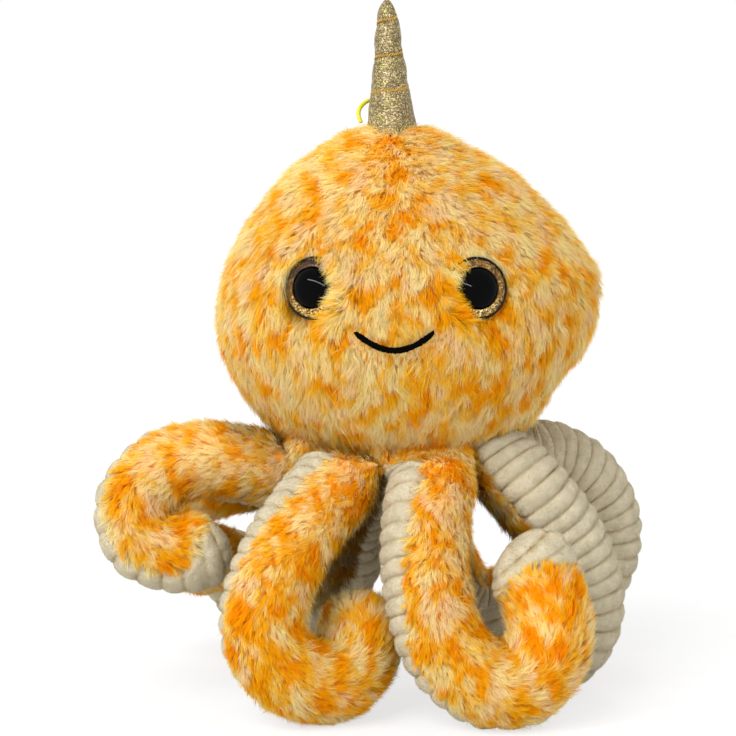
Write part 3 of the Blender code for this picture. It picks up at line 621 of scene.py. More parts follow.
def capsules(name, starts, ends, radii, finish, sides=7):
    """Short thick threads with rounded ends, all in one mesh."""
    starts = np.asarray(starts, float)
    ends = np.asarray(ends, float)
    radii = np.broadcast_to(np.asarray(radii, float).reshape(-1, 1), (len(starts), 1))
    along = unit(ends - starts)
    guide = np.where(np.abs(along[:, 2:3]) > 0.8, np.array([[1.0, 0, 0]]), UP[None])
    across = unit(np.cross(along, guide))
    third = np.cross(along, across)
    angles = np.arange(sides) * math.tau / sides
    ring = (np.cos(angles)[None, :, None] * across[:, None] + np.sin(angles)[None, :, None] * third[:, None])
    rings = []
    for share, width, bulge in CAPSULE_RINGS:
        centre = starts + (ends - starts) * share + along * radii * bulge
        rings.append(centre[:, None] + ring * (radii * width)[:, None])
    points = np.stack(rings, axis=1)
    count = len(rings)
    quads = grid_corners(count, sides, True)
    base = (np.arange(len(starts)) * count * sides)[:, None, None]
    every = (base + quads[None]).reshape(-1, 4)
    return add_mesh(name, points, every.ravel(), np.arange(len(every)) * 4, finish)


# The pile

def scatter(layers, per_area, rng):
    """Random places on a grid, evenly by area, and each layer's values there. The points come first."""
    grid = layers[0]
    columns = grid.shape[1]
    slant = grid[1:, 1:] - grid[:-1, :-1]
    other = grid[1:, :-1] - grid[:-1, 1:]
    areas = lengths_of(np.cross(slant, other)).ravel() / 2
    count = int(round(areas.sum() * per_area))
    edges = np.cumsum(areas) / areas.sum()
    cells = np.searchsorted(edges, (np.arange(count) + rng.random(count)) / count)
    i, j = np.divmod(np.minimum(cells, len(areas) - 1), columns - 1)
    s = rng.random((count, 1))
    t = rng.random((count, 1))
    return [
        (layer[i, j] * (1 - s) + layer[i, j + 1] * s) * (1 - t)
        + (layer[i + 1, j] * (1 - s) + layer[i + 1, j + 1] * s) * t
        for layer in layers
    ]


def comb_round_eyes(places, nap, reach):
    """Lay the pile over the eyes' rims on the nose side and the top, and past them elsewhere, and give the
    painted shade on the pile round the rims.
    """
    keep = np.ones(len(places), bool)
    lift = np.zeros((len(places), 1))
    calm = np.zeros((len(places), 1))
    shaded = np.zeros((len(places), 1))
    for (centre, out), (above, beside, lap) in zip(eyes, EYE_SHADES):
        away = places - centre
        on_face = dot(away, out) > -EYE_DEPTH
        away = away - dot(away, out) * out
        distance = lengths_of(away)
        radial = away / np.maximum(distance, 1e-9)
        to_nose = -np.sign(centre[0] - head_axis[0])
        nose = ease(radial[:, :1] * to_nose + 0.30)
        over = np.maximum(nose, 0.60 * ease((radial[:, 2:] - 0.1) / 0.7))
        over = np.maximum(over, lap * ease(0.75 + radial[:, 2:]))
        near = ease((EYE_COMB_RADIUS - distance) / (EYE_COMB_RADIUS - EYE_CLEAR_RADIUS)) * on_face
        past = nap - radial * np.minimum(dot(nap, radial), 0) * near * EYE_COMB_STRENGTH + radial * near * 0.3
        share = near * over
        nap = unit(past * (1 - share) + (nap * 0.35 - radial) * share)
        reach = reach * (1 - 0.28 * near * (1 - over) + EYE_OVERHANG_LENGTH * share)
        lift = lift + EYE_OVERHANG_LIFT * share
        calm = calm + near
        # Painted shade: the pile near each rim is darkened above it and on the side away from the nose.
        rim = ease((EYE_SHADE_RADIUS - distance) / (EYE_SHADE_RADIUS - EYE_CLEAR_RADIUS)) ** 2 * on_face
        sides = above * ease(radial[:, 2:] + 0.1) + beside * ease(0.3 - radial[:, :1] * to_nose)
        shaded = shaded + rim * np.minimum(sides, 0.9) * ease((0.5 - radial[:, :1] * to_nose) / 0.6)
        keep &= ((distance > EYE_CLEAR_RADIUS) | ~on_face).ravel()
    return nap, reach, lift, keep, calm, shaded


def trim_at_eyes(roots, middles, tips):
    """Cut the fibres that hang over an eye back to its edge, which lies further in on the nose side."""
    for (centre, out), cut_beside in zip(eyes, EYE_CUT_RADII):
        def flat(points):
            away = points - centre
            return away - dot(away, out) * out
        tip = flat(tips)
        reach = lengths_of(tip)
        start = lengths_of(flat(roots))
        to_nose = -np.sign(centre[0] - head_axis[0])
        nose = ease((tip[..., :1] / np.maximum(reach, 1e-9) * to_nose + 0.15) / 0.7)
        cut = cut_beside + (EYE_CUT_NOSE_RADIUS - cut_beside) * nose
        share = np.clip((start - cut) / np.maximum(start - reach, 1e-9), 0.2, 1)
        beside = (start < EYE_COMB_RADIUS) & (dot(tips - centre, out) > -EYE_DEPTH)
        share = np.where((reach < cut) & beside, share, 1)
        tips = roots + (tips - roots) * share
        middles = roots + (middles - roots) * share
    return middles, tips


def grow_pile(name, points, normals, nap, reach, length, finish, on_head=False, inner=None):
    """Tapered fibres in clumps. Every fibre is a strip of a quad and a triangle that leans with the nap."""
    rng = rng_for(name)
    thin = 1.0
    per_clump = FIBRES_PER_CLUMP
    # inner is the painted shade on the arms' inner sides, and none elsewhere.
    inner = np.zeros(reach.shape) if inner is None else inner
    place, normal, nap, reach, shaded = scatter(
        [points, normals, nap, reach, inner], FIBRES_PER_AREA * thin / per_clump, rng)
    normal = unit(normal)
    lift = np.zeros((len(place), 1))
    calm = lift
    if on_head:
        nap, reach, lift, keep, calm, shaded = comb_round_eyes(place, nap, reach)
        reach = reach * press_at_mouth(place)
        dense = np.flatnonzero(keep & (lift.ravel() > 0.25 * EYE_OVERHANG_LIFT))
        order = np.concatenate([np.flatnonzero(keep)] + [dense] * EYE_EXTRA_CLUMPS)
        place, normal, nap, reach, lift, calm, shaded = (
            layer[order] for layer in (place, normal, nap, reach, lift, calm, shaded))
    count = len(place)
    swirl = TOUSLE_ANGLE * (field(place, TOUSLE_SCALE, 3.1) + 0.5 * field(place, TOUSLE_SCALE * 2.3, 17.7))
    swirl = (swirl + rng.normal(0, math.radians(13), (count, 1))) * (1 - 0.8 * calm)
    nap = unit(nap - normal * dot(nap, normal))
    side = np.cross(normal, nap)
    clump_way = nap * np.cos(swirl) + side * np.sin(swirl)
    clump_side = np.cross(normal, clump_way)
    lean = LEAN_WAVER * (field(place, TOUSLE_SCALE * 1.4, 41.3) * 1.3 + rng.normal(0, 0.4, (count, 1)))
    clump_length = length * reach * (1 + rng.normal(0, 0.10, (count, 1)))

    shape = (count, per_clump, 1)
    radius = CLUMP_RADIUS * np.sqrt(rng.random(shape))
    angle = math.tau * rng.random(shape)
    offset = radius * (np.cos(angle) * clump_way[:, None] + np.sin(angle) * clump_side[:, None])
    stray = rng.random(shape) < STRAY_SHARE
    turn = rng.normal(0, math.radians(10), shape) * np.where(stray, 3.0, 1.0)
    way = clump_way[:, None] * np.cos(turn) + clump_side[:, None] * np.sin(turn)
    fibre = clump_length[:, None] * (1 + rng.normal(0, 0.12, shape))
    rise = np.where(stray, -0.30, 0.0) + rng.normal(0, 0.09, shape) + lean[:, None]
    first = np.clip(LEAN_FIRST - lift[:, None] + rise, 0.08, 1.3)
    last = np.clip(LEAN_LAST + rise, 0.3, 1.48)
    up = normal[:, None]
    gather = np.where(stray, 0.0, 1.0)
    roots = place[:, None] + offset
    middles = roots + fibre / 2 * (up * np.cos(first) + way * np.sin(first)) - offset * GATHER_MIDDLE * gather
    tips = middles + fibre / 2 * (up * np.cos(last) + way * np.sin(last))
    tips = tips - offset * (GATHER_TIP - GATHER_MIDDLE) * gather
    if on_head:
        middles, tips = trim_at_eyes(roots, middles, tips)
    roll = rng.normal(0, 0.6, shape)
    wide = np.cross(up, way) * np.cos(roll) + up * np.sin(roll)
    half = FIBRE_HALF_WIDTH * 1.0 * (1 + rng.normal(0, 0.15, shape))
    strips = np.stack([
        roots + wide * half, roots - wide * half, middles - wide * half * 0.85, middles + wide * half * 0.85,
        tips], axis=2).reshape(-1, 5, 3)
    strips[..., 2] = np.maximum(strips[..., 2], FLOOR_CLEARANCE)
    total = len(strips)
    pattern = np.array([0, 1, 2, 3, 3, 2, 4])
    corners = (np.arange(total)[:, None] * 5 + pattern).ravel()
    starts = (np.arange(total)[:, None] * 7 + np.array([0, 4])).ravel()
    item = add_mesh(name, strips, corners, starts, finish)
    own = unit(np.cross(way, wide).reshape(-1, 1, 3))
    skin_up = np.repeat(up, per_clump, axis=1).reshape(-1, 1, 3)
    own = own * np.sign(dot(own, skin_up))
    soft = skin_up * (1 - FIBRE_OWN_SHARE) + own * FIBRE_OWN_SHARE
    item.data.normals_split_custom_set_from_vertices(np.repeat(unit(soft), 5, axis=1).reshape(-1, 3))
    flat_roots = (place[:, None] + offset * 0.9 + way * rng.normal(0, 0.0006, shape)).reshape(-1, 1, 3)
    put_attribute(item, "root", "FLOAT_VECTOR", np.repeat(flat_roots, 5, axis=1))
    tone = (rng.normal(0, 0.6, shape) + rng.normal(0, 0.5, (count, 1, 1))).reshape(-1, 1)
    put_attribute(item, "tone", "FLOAT", np.repeat(tone, 5, axis=1))
    put_attribute(item, "along", "FLOAT", np.tile([0, 0, 0.5, 0.5, 1.0], total))
    # Painted shade, round the eyes and on the arms' inner sides.
    put_attribute(item, "shaded", "FLOAT", np.repeat(shaded, 5 * per_clump, axis=0))
    give_cells(item, total, (
        (0.2, 0.1), (0.8, 0.1), (0.8, 0.5), (0.2, 0.5), (0.2, 0.5), (0.8, 0.5), (0.5, 0.9)))
    return item


def grow_nap(name, points, normals, depth_shade):
    """The ribbed cloth's short upright nap: one thin triangle for each hair."""
    rng = rng_for(name)
    thin = 1.0
    place, normal, depth_shade = scatter([points, normals, depth_shade], NAP_PER_AREA * thin, rng)
    normal = unit(normal)
    count = len(place)
    flat = rng.normal(0, 1, (count, 3))
    flat = unit(flat - normal * dot(flat, normal))
    lean = rng.uniform(NAP_LEAN_LEAST, NAP_LEAN_MOST, (count, 1))
    way = normal * np.cos(lean) + flat * np.sin(lean)
    tips = place + way * NAP_LENGTH * rng.uniform(0.7, 1.2, (count, 1))
    wide = np.cross(normal, flat) * NAP_HALF_WIDTH
    hairs = np.stack([place + wide, place - wide, tips], axis=1)
    hairs[..., 2] = np.maximum(hairs[..., 2], FLOOR_CLEARANCE)
    item = add_mesh(name, hairs, np.arange(3 * count), np.arange(count) * 3, nap_finish)
    put_attribute(item, "rest", "FLOAT_VECTOR", np.repeat(place, 3, axis=0))
    # The nap carries the same painted shade in the grooves as the cloth.
    put_attribute(item, "groove", "FLOAT", np.repeat(depth_shade, 3, axis=0))
    give_cells(item, count, ((0.2, 0.1), (0.8, 0.1), (0.5, 0.9)))
    return item


def give_cells(item, total, corners):
    """One cell of a square map for each fibre, with the corners given in cells."""
    across = int(math.ceil(math.sqrt(total)))
    row, column = np.divmod(np.arange(total), across)
    cells = (np.stack([column, row], axis=-1)[:, None] + np.array(corners)[None]) / across
    layer = item.data.uv_layers.new(name="OFBake")
    layer.data.foreach_set("uv", cells.astype(np.float32).ravel())


# The head

joints = {joint["name"]: joint for joint in frame["joints"]}
head_axis = np.array([*joints["horn_tilt"]["pos_m"][:2], 0.0])
left_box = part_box("head_front_left_panel")
right_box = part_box("head_front_right_panel")
back_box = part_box("head_back_left_panel")
head_left = head_axis[0] - left_box[0].x
head_right = right_box[1].x - head_axis[0]
head_front = head_axis[1] - left_box[0].y
head_back = back_box[1].y - head_axis[1]
head_top = left_box[1].z
base_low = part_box("base_panel")[0].z
head_height = (head_top - base_low) / (1 - BASE_PANEL_LOW_SHARE)
head_low = head_top - head_height

outline = smooth_route(HEAD_OUTLINE_SHARES, OUTLINE_STEPS)
outline[:, 0] = np.maximum(outline[:, 0], 0)
right_shares = np.interp(outline[:, 1], *np.transpose(HEAD_RIGHT_SHARES))
head_right /= (outline[:, 0] * right_shares).max()
outline_lengths = lengths_along(outline * np.array([(head_left + head_right) / 2, head_height]))
seam_row = int(np.argmin(np.abs(outline[: len(outline) // 2, 0] - BASE_PANEL_RADIUS_SHARE)))
seam_length = outline_lengths[seam_row]


def head_grid(angles, wanted):
    """Points of the head's outer surface. Angle 0 is the front, 90 degrees the right."""
    share = at_lengths(outline, outline_lengths, wanted)
    fuller = np.interp(share[:, 1:], *np.transpose(HEAD_RIGHT_SHARES)) - 1
    right = np.maximum(np.sin(angles), 0)[None]
    side = np.where(right > 0, head_right * (1 + fuller * right), head_left)
    deep = np.where(np.cos(angles) > 0, head_front, head_back)
    x = share[:, :1] * side * np.sin(angles)[None]
    y = share[:, :1] * (-np.cos(angles) * deep)[None]
    z = np.broadcast_to(head_low + head_height * share[:, 1:], x.shape)
    return np.stack([x, y, z], axis=-1) + head_axis


def head_skin(angles, wanted):
    """The cloth under the pile with its outward normals, drawn in at the four seams."""
    outer = head_grid(angles, wanted)
    normals = normals_of(outer)
    quarter = math.pi / 2
    from_seam = np.abs((angles + quarter / 2) % quarter - quarter / 2)
    span = lengths_of(outer - head_axis - UP * outer[..., 2:])
    distance = from_seam[None, :, None] * span
    dip = HEAD_SEAM_DIP * np.exp(-(distance / HEAD_SEAM_REACH) ** 2)
    return outer - normals * (HEAD_SKIN_DEPTH + dip), normals


def head_nap(points, normals, angles):
    """Down from the top and out from the parting over the front seam."""
    down = -np.gradient(points, axis=0)
    down = unit(down - normals * dot(down, normals))
    across = np.cross(normals, down)
    signed = (angles + math.pi) % math.tau - math.pi
    height = (points[..., 2:] - head_low) / head_height
    upper = ease((height - 0.55) / 0.35)
    away = np.tanh(signed / 0.25)[None, :, None] * np.exp(-(signed / 0.9) ** 2)[None, :, None]
    return unit(down + across * away * upper * 0.9)


fur_head = fur_material("head_pile", 0.0)
fur_arm = fur_material("arm_pile", 0.045)
skin_finish = mottled_material("plush_backing", 90.0, (
    (0.35, shade(246, 214, 150)), (0.52, shade(246, 190, 80)), (0.68, shade(244, 160, 30))),
    0.9, 0.1, 3.0, 0.6)
rib_finish = rib_material("ribbed_cloth")
nap_finish = rib_material("ribbed_nap", 0.3)


def eye_place(word):
    """An eye's centre and outward direction, from its ring, and how far its back and front lie."""
    ring = np.array([vertex.co for vertex in frame["nodes"][f"{word}_glitter_ring"].data.vertices])
    pupil = np.array([vertex.co for vertex in frame["nodes"][f"{word}_eye"].data.vertices])
    centre = ring.mean(axis=0)
    out = np.linalg.svd(ring - centre)[2][2]
    out = out if out[1] < 0 else -out
    back = ((ring - centre) @ out).min()
    radius = np.linalg.norm(np.cross(ring - centre, out), axis=1)
    front = ((pupil - centre) @ out).max()
    return centre + out * (back - EYE_SINK), out, front - back, radius.max(), radius.min()


eye_places = {word: eye_place(word) for word in ("left", "right")}
eyes = [(place[0], place[1]) for place in eye_places.values()]

front_panels = [frame["nodes"][f"head_front_{word}_panel"].data for word in ("left", "right")]


def surface_tree(meshes):
    points = []
    faces = []
    for mesh in meshes:
        start = len(points)
        points += [vertex.co.copy() for vertex in mesh.vertices]
        faces += [[start + index for index in face.vertices] for face in mesh.polygons]
    return BVHTree.FromPolygons(points, faces)


front_tree = surface_tree(front_panels)


def mouth_route():
    """The CAD mouth's line on the front gores, and which way they face there."""
    middle = head_low + MOUTH_MIDDLE_ABOVE_BOTTOM
    points = []
    outs = []
    for i in range(MOUTH_POINTS):
        share = 2 * i / (MOUTH_POINTS - 1) - 1
        start = Vector((
            head_axis[0] + share * MOUTH_WIDTH / 2, head_axis[1] - 2 * head_front,
            middle - MOUTH_SAG * (1 - share * share)))
        place, out = front_tree.ray_cast(start, Vector((0, 1, 0)))[:2]
        points.append(np.array(place) + FRONT * MOUTH_THREAD / 4)
        outs.append(np.array(out))
    outs = np.array(outs)
    outs = np.where(outs[:, 1:2] > 0, -outs, outs)
    return smooth_route(points, 12), unit(smooth_route(outs, 12))


mouth_points, mouth_outs = mouth_route()


def press_at_mouth(places):
    """The pile is shorter where the stitches press it down."""
    apart = np.min(np.linalg.norm(places[:, None] - mouth_points[None, ::6], axis=-1), axis=1)[:, None]
    return 1 - MOUTH_PRESS * ease(1 - (apart - HEAD_SKIN_DEPTH) / MOUTH_PRESS_REACH)


def build_head():
    quarter = math.pi / 2
    places = ("front_right", "back_right", "back_left", "front_left")
    wanted = np.linspace(seam_length, outline_lengths[-1] - POLE_GAP_HIGH, GORE_ROWS)
    for index, place in enumerate(places):
        node = f"head_{place}_panel"
        angles = np.linspace(index, index + 1, GORE_COLUMNS) * quarter
        points, normals = head_skin(angles, wanted)
        skin = add_grid(node + "_skin", points, skin_finish)
        present(skin, "head", "orange_plush", node)
        nap = head_nap(points, normals, angles)
        foot = 1 - ease((points[..., 2:] - head_low) / (HEAD_FOOT_SHARE * head_height))
        reach = 1 + HEAD_FOOT_LONGER * foot
        nap = unit(nap - UP * foot)
        middle = GORE_ROWS // 2
        for word, rows in (("low", slice(0, middle + 1)), ("high", slice(middle, GORE_ROWS))):
            pile = grow_pile(
                f"{node}_pile_{word}", points[rows], normals[rows], nap[rows], reach[rows], HEAD_FIBRE_LENGTH,
                fur_head, on_head=True)
            present(pile, "head", "orange_plush")
    angles = np.linspace(0, math.tau, 4 * GORE_COLUMNS)
    points, normals = head_skin(angles, np.linspace(POLE_GAP_LOW, seam_length, BASE_ROWS))
    skin = add_grid("base_panel_skin", points, skin_finish)
    present(skin, "head", "orange_plush", "base_panel", "head_stuffing")
    nap = head_nap(points, normals, angles)
    pile = grow_pile(
        "base_panel_pile", points, normals, nap, np.full(points.shape[:2] + (1,), BASE_PILE_SHARE),
        HEAD_FIBRE_LENGTH, fur_head)
    present(pile, "head", "orange_plush")


# The arms

class ArmShape:
    """Cross-sections of an arm along its route, as arrays with one row each."""

    def __init__(self, name):
        stands, curl, turns, girth_share, route_shares = ARM_SHARES[name]
        joint = joints[f"arm_{name}_swing"]
        axis = np.array(joint["axis"], float)
        self.root = np.array(joint["pos_m"], float)
        self.outward = np.array([-axis[1], axis[0], 0.0])
        self.lead = self.outward * math.cos(ROOT_DROP) - UP * math.sin(ROOT_DROP)
        low = np.array(route_shares) * np.array([ARM_SPREAD, ARM_SPREAD, HEAD_BOTTOM]) + head_axis
        route = smooth_route([self.root, self.root + self.lead * ROOT_LEAD, *low], CURVE_STEPS)
        lengths = lengths_along(route)
        length = lengths[-1]
        stations = round(length / STATION_PITCH)
        pitch = length / round(length / RIB_PITCH)
        straight = length - TIP_ROUNDING
        here = np.linspace(-ROOT_OVERLAP, straight, round((straight + ROOT_OVERLAP) / pitch * RIB_STEPS) + 1)
        tip = straight + TIP_ROUNDING * np.sin(np.linspace(0, math.pi / 2, TIP_STEPS + 1))[1:]
        here = np.concatenate([here, tip])
        self.here = here
        self.length = length
        self.phase = here / pitch
        self.centre = at_lengths(route, lengths, here) + self.lead * np.minimum(here, 0)[:, None]
        before = at_lengths(route, lengths, np.maximum(here - STATION_PITCH, 0))
        after = at_lengths(route, lengths, np.minimum(here + STATION_PITCH, length))
        self.along = unit(after - before)
        turned_by = np.radians(np.interp(here / length, np.linspace(0, 1, len(turns)), turns))[:, None]
        inner = unit(np.cross(self.along, FRONT)) * curl
        plush_way = inner * np.cos(turned_by) + FRONT * np.sin(turned_by)
        seam_way = np.where(dot(plush_way, self.outward) > 0, self.outward, -self.outward)
        twist = ease((here - ROOT_TWIST_START) / ROOT_TWIST_LENGTH)[:, None]
        normal = seam_way * (1 - twist) + plush_way * twist
        self.normal = unit(normal - self.along * dot(normal, self.along))
        swell = ease(here / ROOT_SWELL_LENGTH)[:, None]
        radius = ARM_RADIUS * girth_share
        into_tip = np.maximum(here - straight, 0)[:, None] / TIP_ROUNDING
        tip_share = np.sqrt(np.maximum(1 - into_tip ** 2, 0.0004))
        self.thick = (ROOT_HALF_THICKNESS + (radius - ROOT_HALF_THICKNESS) * swell) * tip_share
        self.width = (ROOT_HALF_WIDTH + (radius - ROOT_HALF_WIDTH) * swell) * tip_share
        cap = CAP_LENGTHS.get(name, PLAIN_CAP_LENGTH)
        self.plush_end = length - cap
        wrap = ease((here - (length - cap - TIP_WRAP_LENGTH)) / TIP_WRAP_LENGTH)[:, None]
        closed = ease((here - (self.plush_end - CAP_CLOSING)) / CAP_CLOSING)[:, None]
        self.half_angle = (PLUSH_HALF_ANGLE + (TIP_HALF_ANGLE - PLUSH_HALF_ANGLE) * wrap) * (1 - closed)
        side = np.cross(self.along, self.normal)
        seam_line = np.cross(self.outward, UP)
        seam_side = np.where(dot(side, seam_line) > 0, seam_line, -seam_line)
        self.side = seam_side * (1 - swell) + side * swell
        if stands:
            corners = np.radians(np.arange(0, 360, 45))[None]
            lowest = self.points(np.broadcast_to(corners, (len(here), 8)), 0.0)[..., 2].min()
            fall = ease(2 * here / length * stations / (stations + 1))[:, None]
            self.centre = self.centre - UP * ((lowest + FLAT_DEPTH) * fall)

    def points(self, angles, inset):
        """Points round the arm. Angle 0 is the middle of the plush side."""
        angles = np.asarray(angles)[..., None]
        inset = np.asarray(inset, float)
        inset = inset if inset.ndim == 3 else np.broadcast_to(inset, angles.shape)
        across = self.side[:, None] * ((self.width[:, None] - inset) * np.sin(angles))
        outward = self.normal[:, None] * ((self.thick[:, None] - inset) * np.cos(angles))
        return self.centre[:, None] + across + outward


def rested(points, clearance):
    """The floor carries what would hang below it."""
    points = points.copy()
    points[..., 2] = np.maximum(points[..., 2], clearance)
    return points


def outward_normals(points, centre):
    normals = normals_of(points)
    outward = points - centre[:, None]
    middle = len(points) // 2
    flip = np.sign(np.sum(normals[middle] * outward[middle]))
    return normals * flip


def build_arm(name):
    shape = ArmShape(name)

    # Plush panel
    spread = np.linspace(-1, 1, ARM_SKIN_COLUMNS)[None]
    angles = spread * (shape.half_angle + 0.05 * np.minimum(shape.half_angle / TIP_HALF_ANGLE, 1))
    skin_depth = np.minimum(ARM_SKIN_DEPTH, SHALLOW_SHARE * shape.thick)
    inset = np.broadcast_to(skin_depth[:, None], angles.shape + (1,))
    kept = shape.here <= shape.plush_end
    skin_points = rested(shape.points(angles, inset), SKIN_CLEARANCE)[kept]
    skin = add_grid(f"arm_{name}_plush_skin", skin_points, skin_finish)
    normals = outward_normals(skin_points, shape.centre[kept])
    fan = spread[..., None] * 0.75 * np.abs(spread[..., None])
    turned = angles[..., None]
    across = np.cos(turned) * shape.side[:, None] - np.sin(turned) * shape.normal[:, None]
    nap = unit(shape.along[:, None] + across * fan)[kept]
    short = 0.8 + 0.2 * ease((shape.here - ROOT_SHORT_START) / ROOT_SHORT_LENGTH)[:, None, None]
    at_end = ease((shape.here - shape.plush_end + END_SHORT_LENGTH) / END_SHORT_LENGTH)[:, None, None]
    short = short * (1 - 0.45 * at_end)
    reach = np.broadcast_to(short[kept], skin_points.shape[:2] + (1,)) * 1.0
    # Painted shade on the pile that faces in towards the head's axis, under the head and between the arms.
    to_axis = (head_axis - skin_points) * np.array([1.0, 1.0, 0.0])
    deep_in = ease((INNER_RADIUS - lengths_of(to_axis)) / INNER_FADE)
    inner = INNER_SHADE * ease(dot(normals, unit(to_axis)) + 0.35) * deep_in
    pile = grow_pile(
        f"arm_{name}_plush_pile", skin_points, normals, nap, reach, ARM_FIBRE_LENGTH, fur_arm, inner=inner)

    # Ribbed panel
    share = np.linspace(0, 1, RIB_COLUMNS)[None]
    angles = shape.half_angle + share * (math.tau - 2 * shape.half_angle)
    plain = shape.points(angles, 0.0)
    waver = field(plain, RIB_WAVER_SCALE, 7.7)[..., 0] * RIB_WAVER
    wave = np.abs(np.sin(math.pi * (shape.phase[:, None] + waver)))
    crest = wave ** RIB_ROUNDNESS
    groove = np.minimum(RIB_GROOVE, SHALLOW_SHARE * shape.thick) * (1 - crest)
    from_edge = np.minimum(share, 1 - share)
    tuck = np.minimum(RIB_EDGE_TUCK, 0.6 * shape.thick) * (1 - ease(from_edge / RIB_EDGE_SHARE)) ** 1.5
    at_tip = ease((shape.here - shape.length + TIP_PUCKER_START) / TIP_PUCKER_FADE)
    at_cap = ease((shape.here - shape.plush_end + CAP_PUCKER_START) / CAP_PUCKER_FADE)
    near_tip = np.maximum(at_tip, at_cap)[:, None]
    folds = 0.5 + 0.5 * np.cos(RIB_PUCKERS * angles)
    pucker = RIB_PUCKER_DEPTH * near_tip * folds * (shape.width / ARM_RADIUS)
    lumps = RIB_LUMP * field(plain, 150.0, 3.3)[..., 0] + RIB_CREASE * field(plain, 430.0, 8.8)[..., 0]
    inset = np.minimum(groove + tuck + pucker + lumps, 0.8 * shape.thick)[..., None]
    cloth_points = rested(shape.points(angles, inset), CLOTH_CLEARANCE)
    ribbed = add_grid(f"arm_{name}_ribbed_cloth", cloth_points, rib_finish)
    # How deep each point lies in a groove or pucker, for the painted shade there.
    depth_shade = np.clip((1 - crest) + 0.4 * pucker / RIB_PUCKER_DEPTH, 0, 1)
    put_attribute(ribbed, "groove", "FLOAT", depth_shade)
    normals = outward_normals(cloth_points, shape.centre)
    short_nap = grow_nap(f"arm_{name}_ribbed_nap", cloth_points, normals, depth_shade[..., None])

    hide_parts(f"arm_{name}_plush", f"arm_{name}_stuffing")
    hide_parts(f"arm_{name}_ribbed")
    for item, slot in (
            (skin, "orange_plush"), (pile, "orange_plush"), (ribbed, "cream_ribbed_plush"),
            (short_nap, "cream_ribbed_plush")):
        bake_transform(item)


# The eyes

def turned_points(centre, out, profile, segments):
    """Points of a turned surface whose profile is (radius, height) pairs, with its axis along out."""
    guide = UP if abs(out[2]) < 0.9 else FRONT
    right = unit(np.cross(guide, out))
    top = np.cross(out, right)
    angles = np.arange(segments) * math.tau / segments
    ring = np.cos(angles)[:, None] * right + np.sin(angles)[:, None] * top
    return np.stack([centre + out * height + ring * radius for radius, height in profile])


def build_eye(word, finishes):
    """A domed black button in a sloping glitter ring with a thin black rim."""
    centre, out, rise, outer, inner = eye_places[word]
    rim = EYE_RIM_WIDTH
    dome = [(inner, 0.0), (inner, EYE_COLLAR)]
    for angle in np.linspace(0, math.pi / 2, DOME_STEPS + 1)[1:]:
        radius = max(inner * math.cos(angle), EYE_POLE_RADIUS)
        dome.append((radius, EYE_COLLAR + (rise - EYE_COLLAR) * math.sin(angle)))
    shell = turned_points(centre, out, dome, 96)
    button = add_grid(f"{word}_eye_button", shell, finishes["button"], wrap=True)
    slope = []
    for share in np.linspace(0, 1, SLOPE_STEPS + 1):
        radius = outer - rim + (inner - outer + rim) * share
        slope.append((radius, EYE_RING_LOW + EYE_RING_RISE * math.sin(share * math.pi / 2)))
    around = turned_points(centre, out, slope, 120)
    ring = add_grid(f"{word}_eye_ring", around, finishes["glitter"], wrap=True)
    # Painted shade on the ring: darker at its top and on the outer side, where the fur over it shades it, and
    # lightest at the bottom.
    radial = unit(around - centre)
    outer_side = np.sign(centre[0] - head_axis[0])
    dark, pale = EYE_RING_SHADES[word]
    put_attribute(ring, "shaded", "FLOAT", np.clip(
        dark * (0.5 + 0.62 * radial[..., 2] + 0.22 * outer_side * radial[..., 0]) + pale, 0, 1))
    edge = [
        (outer - rim / 2 * (1 - EYE_RIM_BULGE * math.cos(angle)),
         EYE_RIM_LOW + EYE_RIM_RISE * math.sin(angle))
        for angle in np.linspace(0, math.pi, RIM_STEPS + 1)]
    edge = [(edge[0][0], -EYE_RIM_FOOT)] + edge + [(edge[-1][0], 0.0)]
    border = add_grid(f"{word}_eye_rim", turned_points(centre, out, edge, 120), finishes["rim"], wrap=True)
    present(button, "head", "black_button", f"{word}_eye")
    present(ring, "head", "gold_glitter", f"{word}_glitter_ring")
    present(border, "head", "black_button")


def build_mouth(finish):
    """Satin stitches side by side along the smile."""
    rng = rng_for("mouth")
    lengths = lengths_along(mouth_points)
    count = int(lengths[-1] / MOUTH_STITCH_STEP)
    wanted = np.linspace(MOUTH_END_GAP, lengths[-1] - MOUTH_END_GAP, count)
    centres = at_lengths(mouth_points, lengths, wanted)
    outs = unit(at_lengths(mouth_outs, lengths, wanted))
    along = unit(np.gradient(centres, axis=0))
    across = np.cross(outs, along)
    slant = unit(across + along * MOUTH_STITCH_SLANT + along * rng.normal(0, 0.08, (count, 1)))
    ends = np.minimum(wanted, lengths[-1] - wanted)[:, None]
    half = MOUTH_STITCH_LENGTH / 2 * (0.50 + 0.50 * ease(ends / MOUTH_TAPER))
    half = half * (1 + rng.normal(0, 0.07, (count, 1)))
    sunk = outs * rng.normal(0, MOUTH_STITCH_UNEVEN, (count, 1))
    stitches = capsules(
        "mouth_stitches", centres - slant * half + sunk, centres + slant * half + sunk, MOUTH_STITCH_RADIUS,
        finish)
    present(stitches, "head", "black_thread", "mouth_embroidery")


# The horn

def horn_radius(height):
    flare = np.clip(1 - height / HORN_HEIGHT, 0, 1.2) ** HORN_FLARE_POWER
    straight = HORN_TIP_RADIUS + (HORN_BASE_RADIUS - HORN_TIP_RADIUS) * flare
    left = np.clip((HORN_HEIGHT - height) / HORN_ROUNDING, 0, 1)
    return straight * np.maximum(1 - (1 - left) ** 2, 0.0001) ** HORN_ROUNDING_POWER


def horn_turn_height(angle, turn):
    """Height of the thread line, which lies flatter in front than at the back."""
    rise = (angle - HORN_FRONT_LEVEL_SHARE * np.sin(angle)) / math.tau
    return HORN_PITCH * (turn + HORN_FIRST_TURN_SHARE + rise)


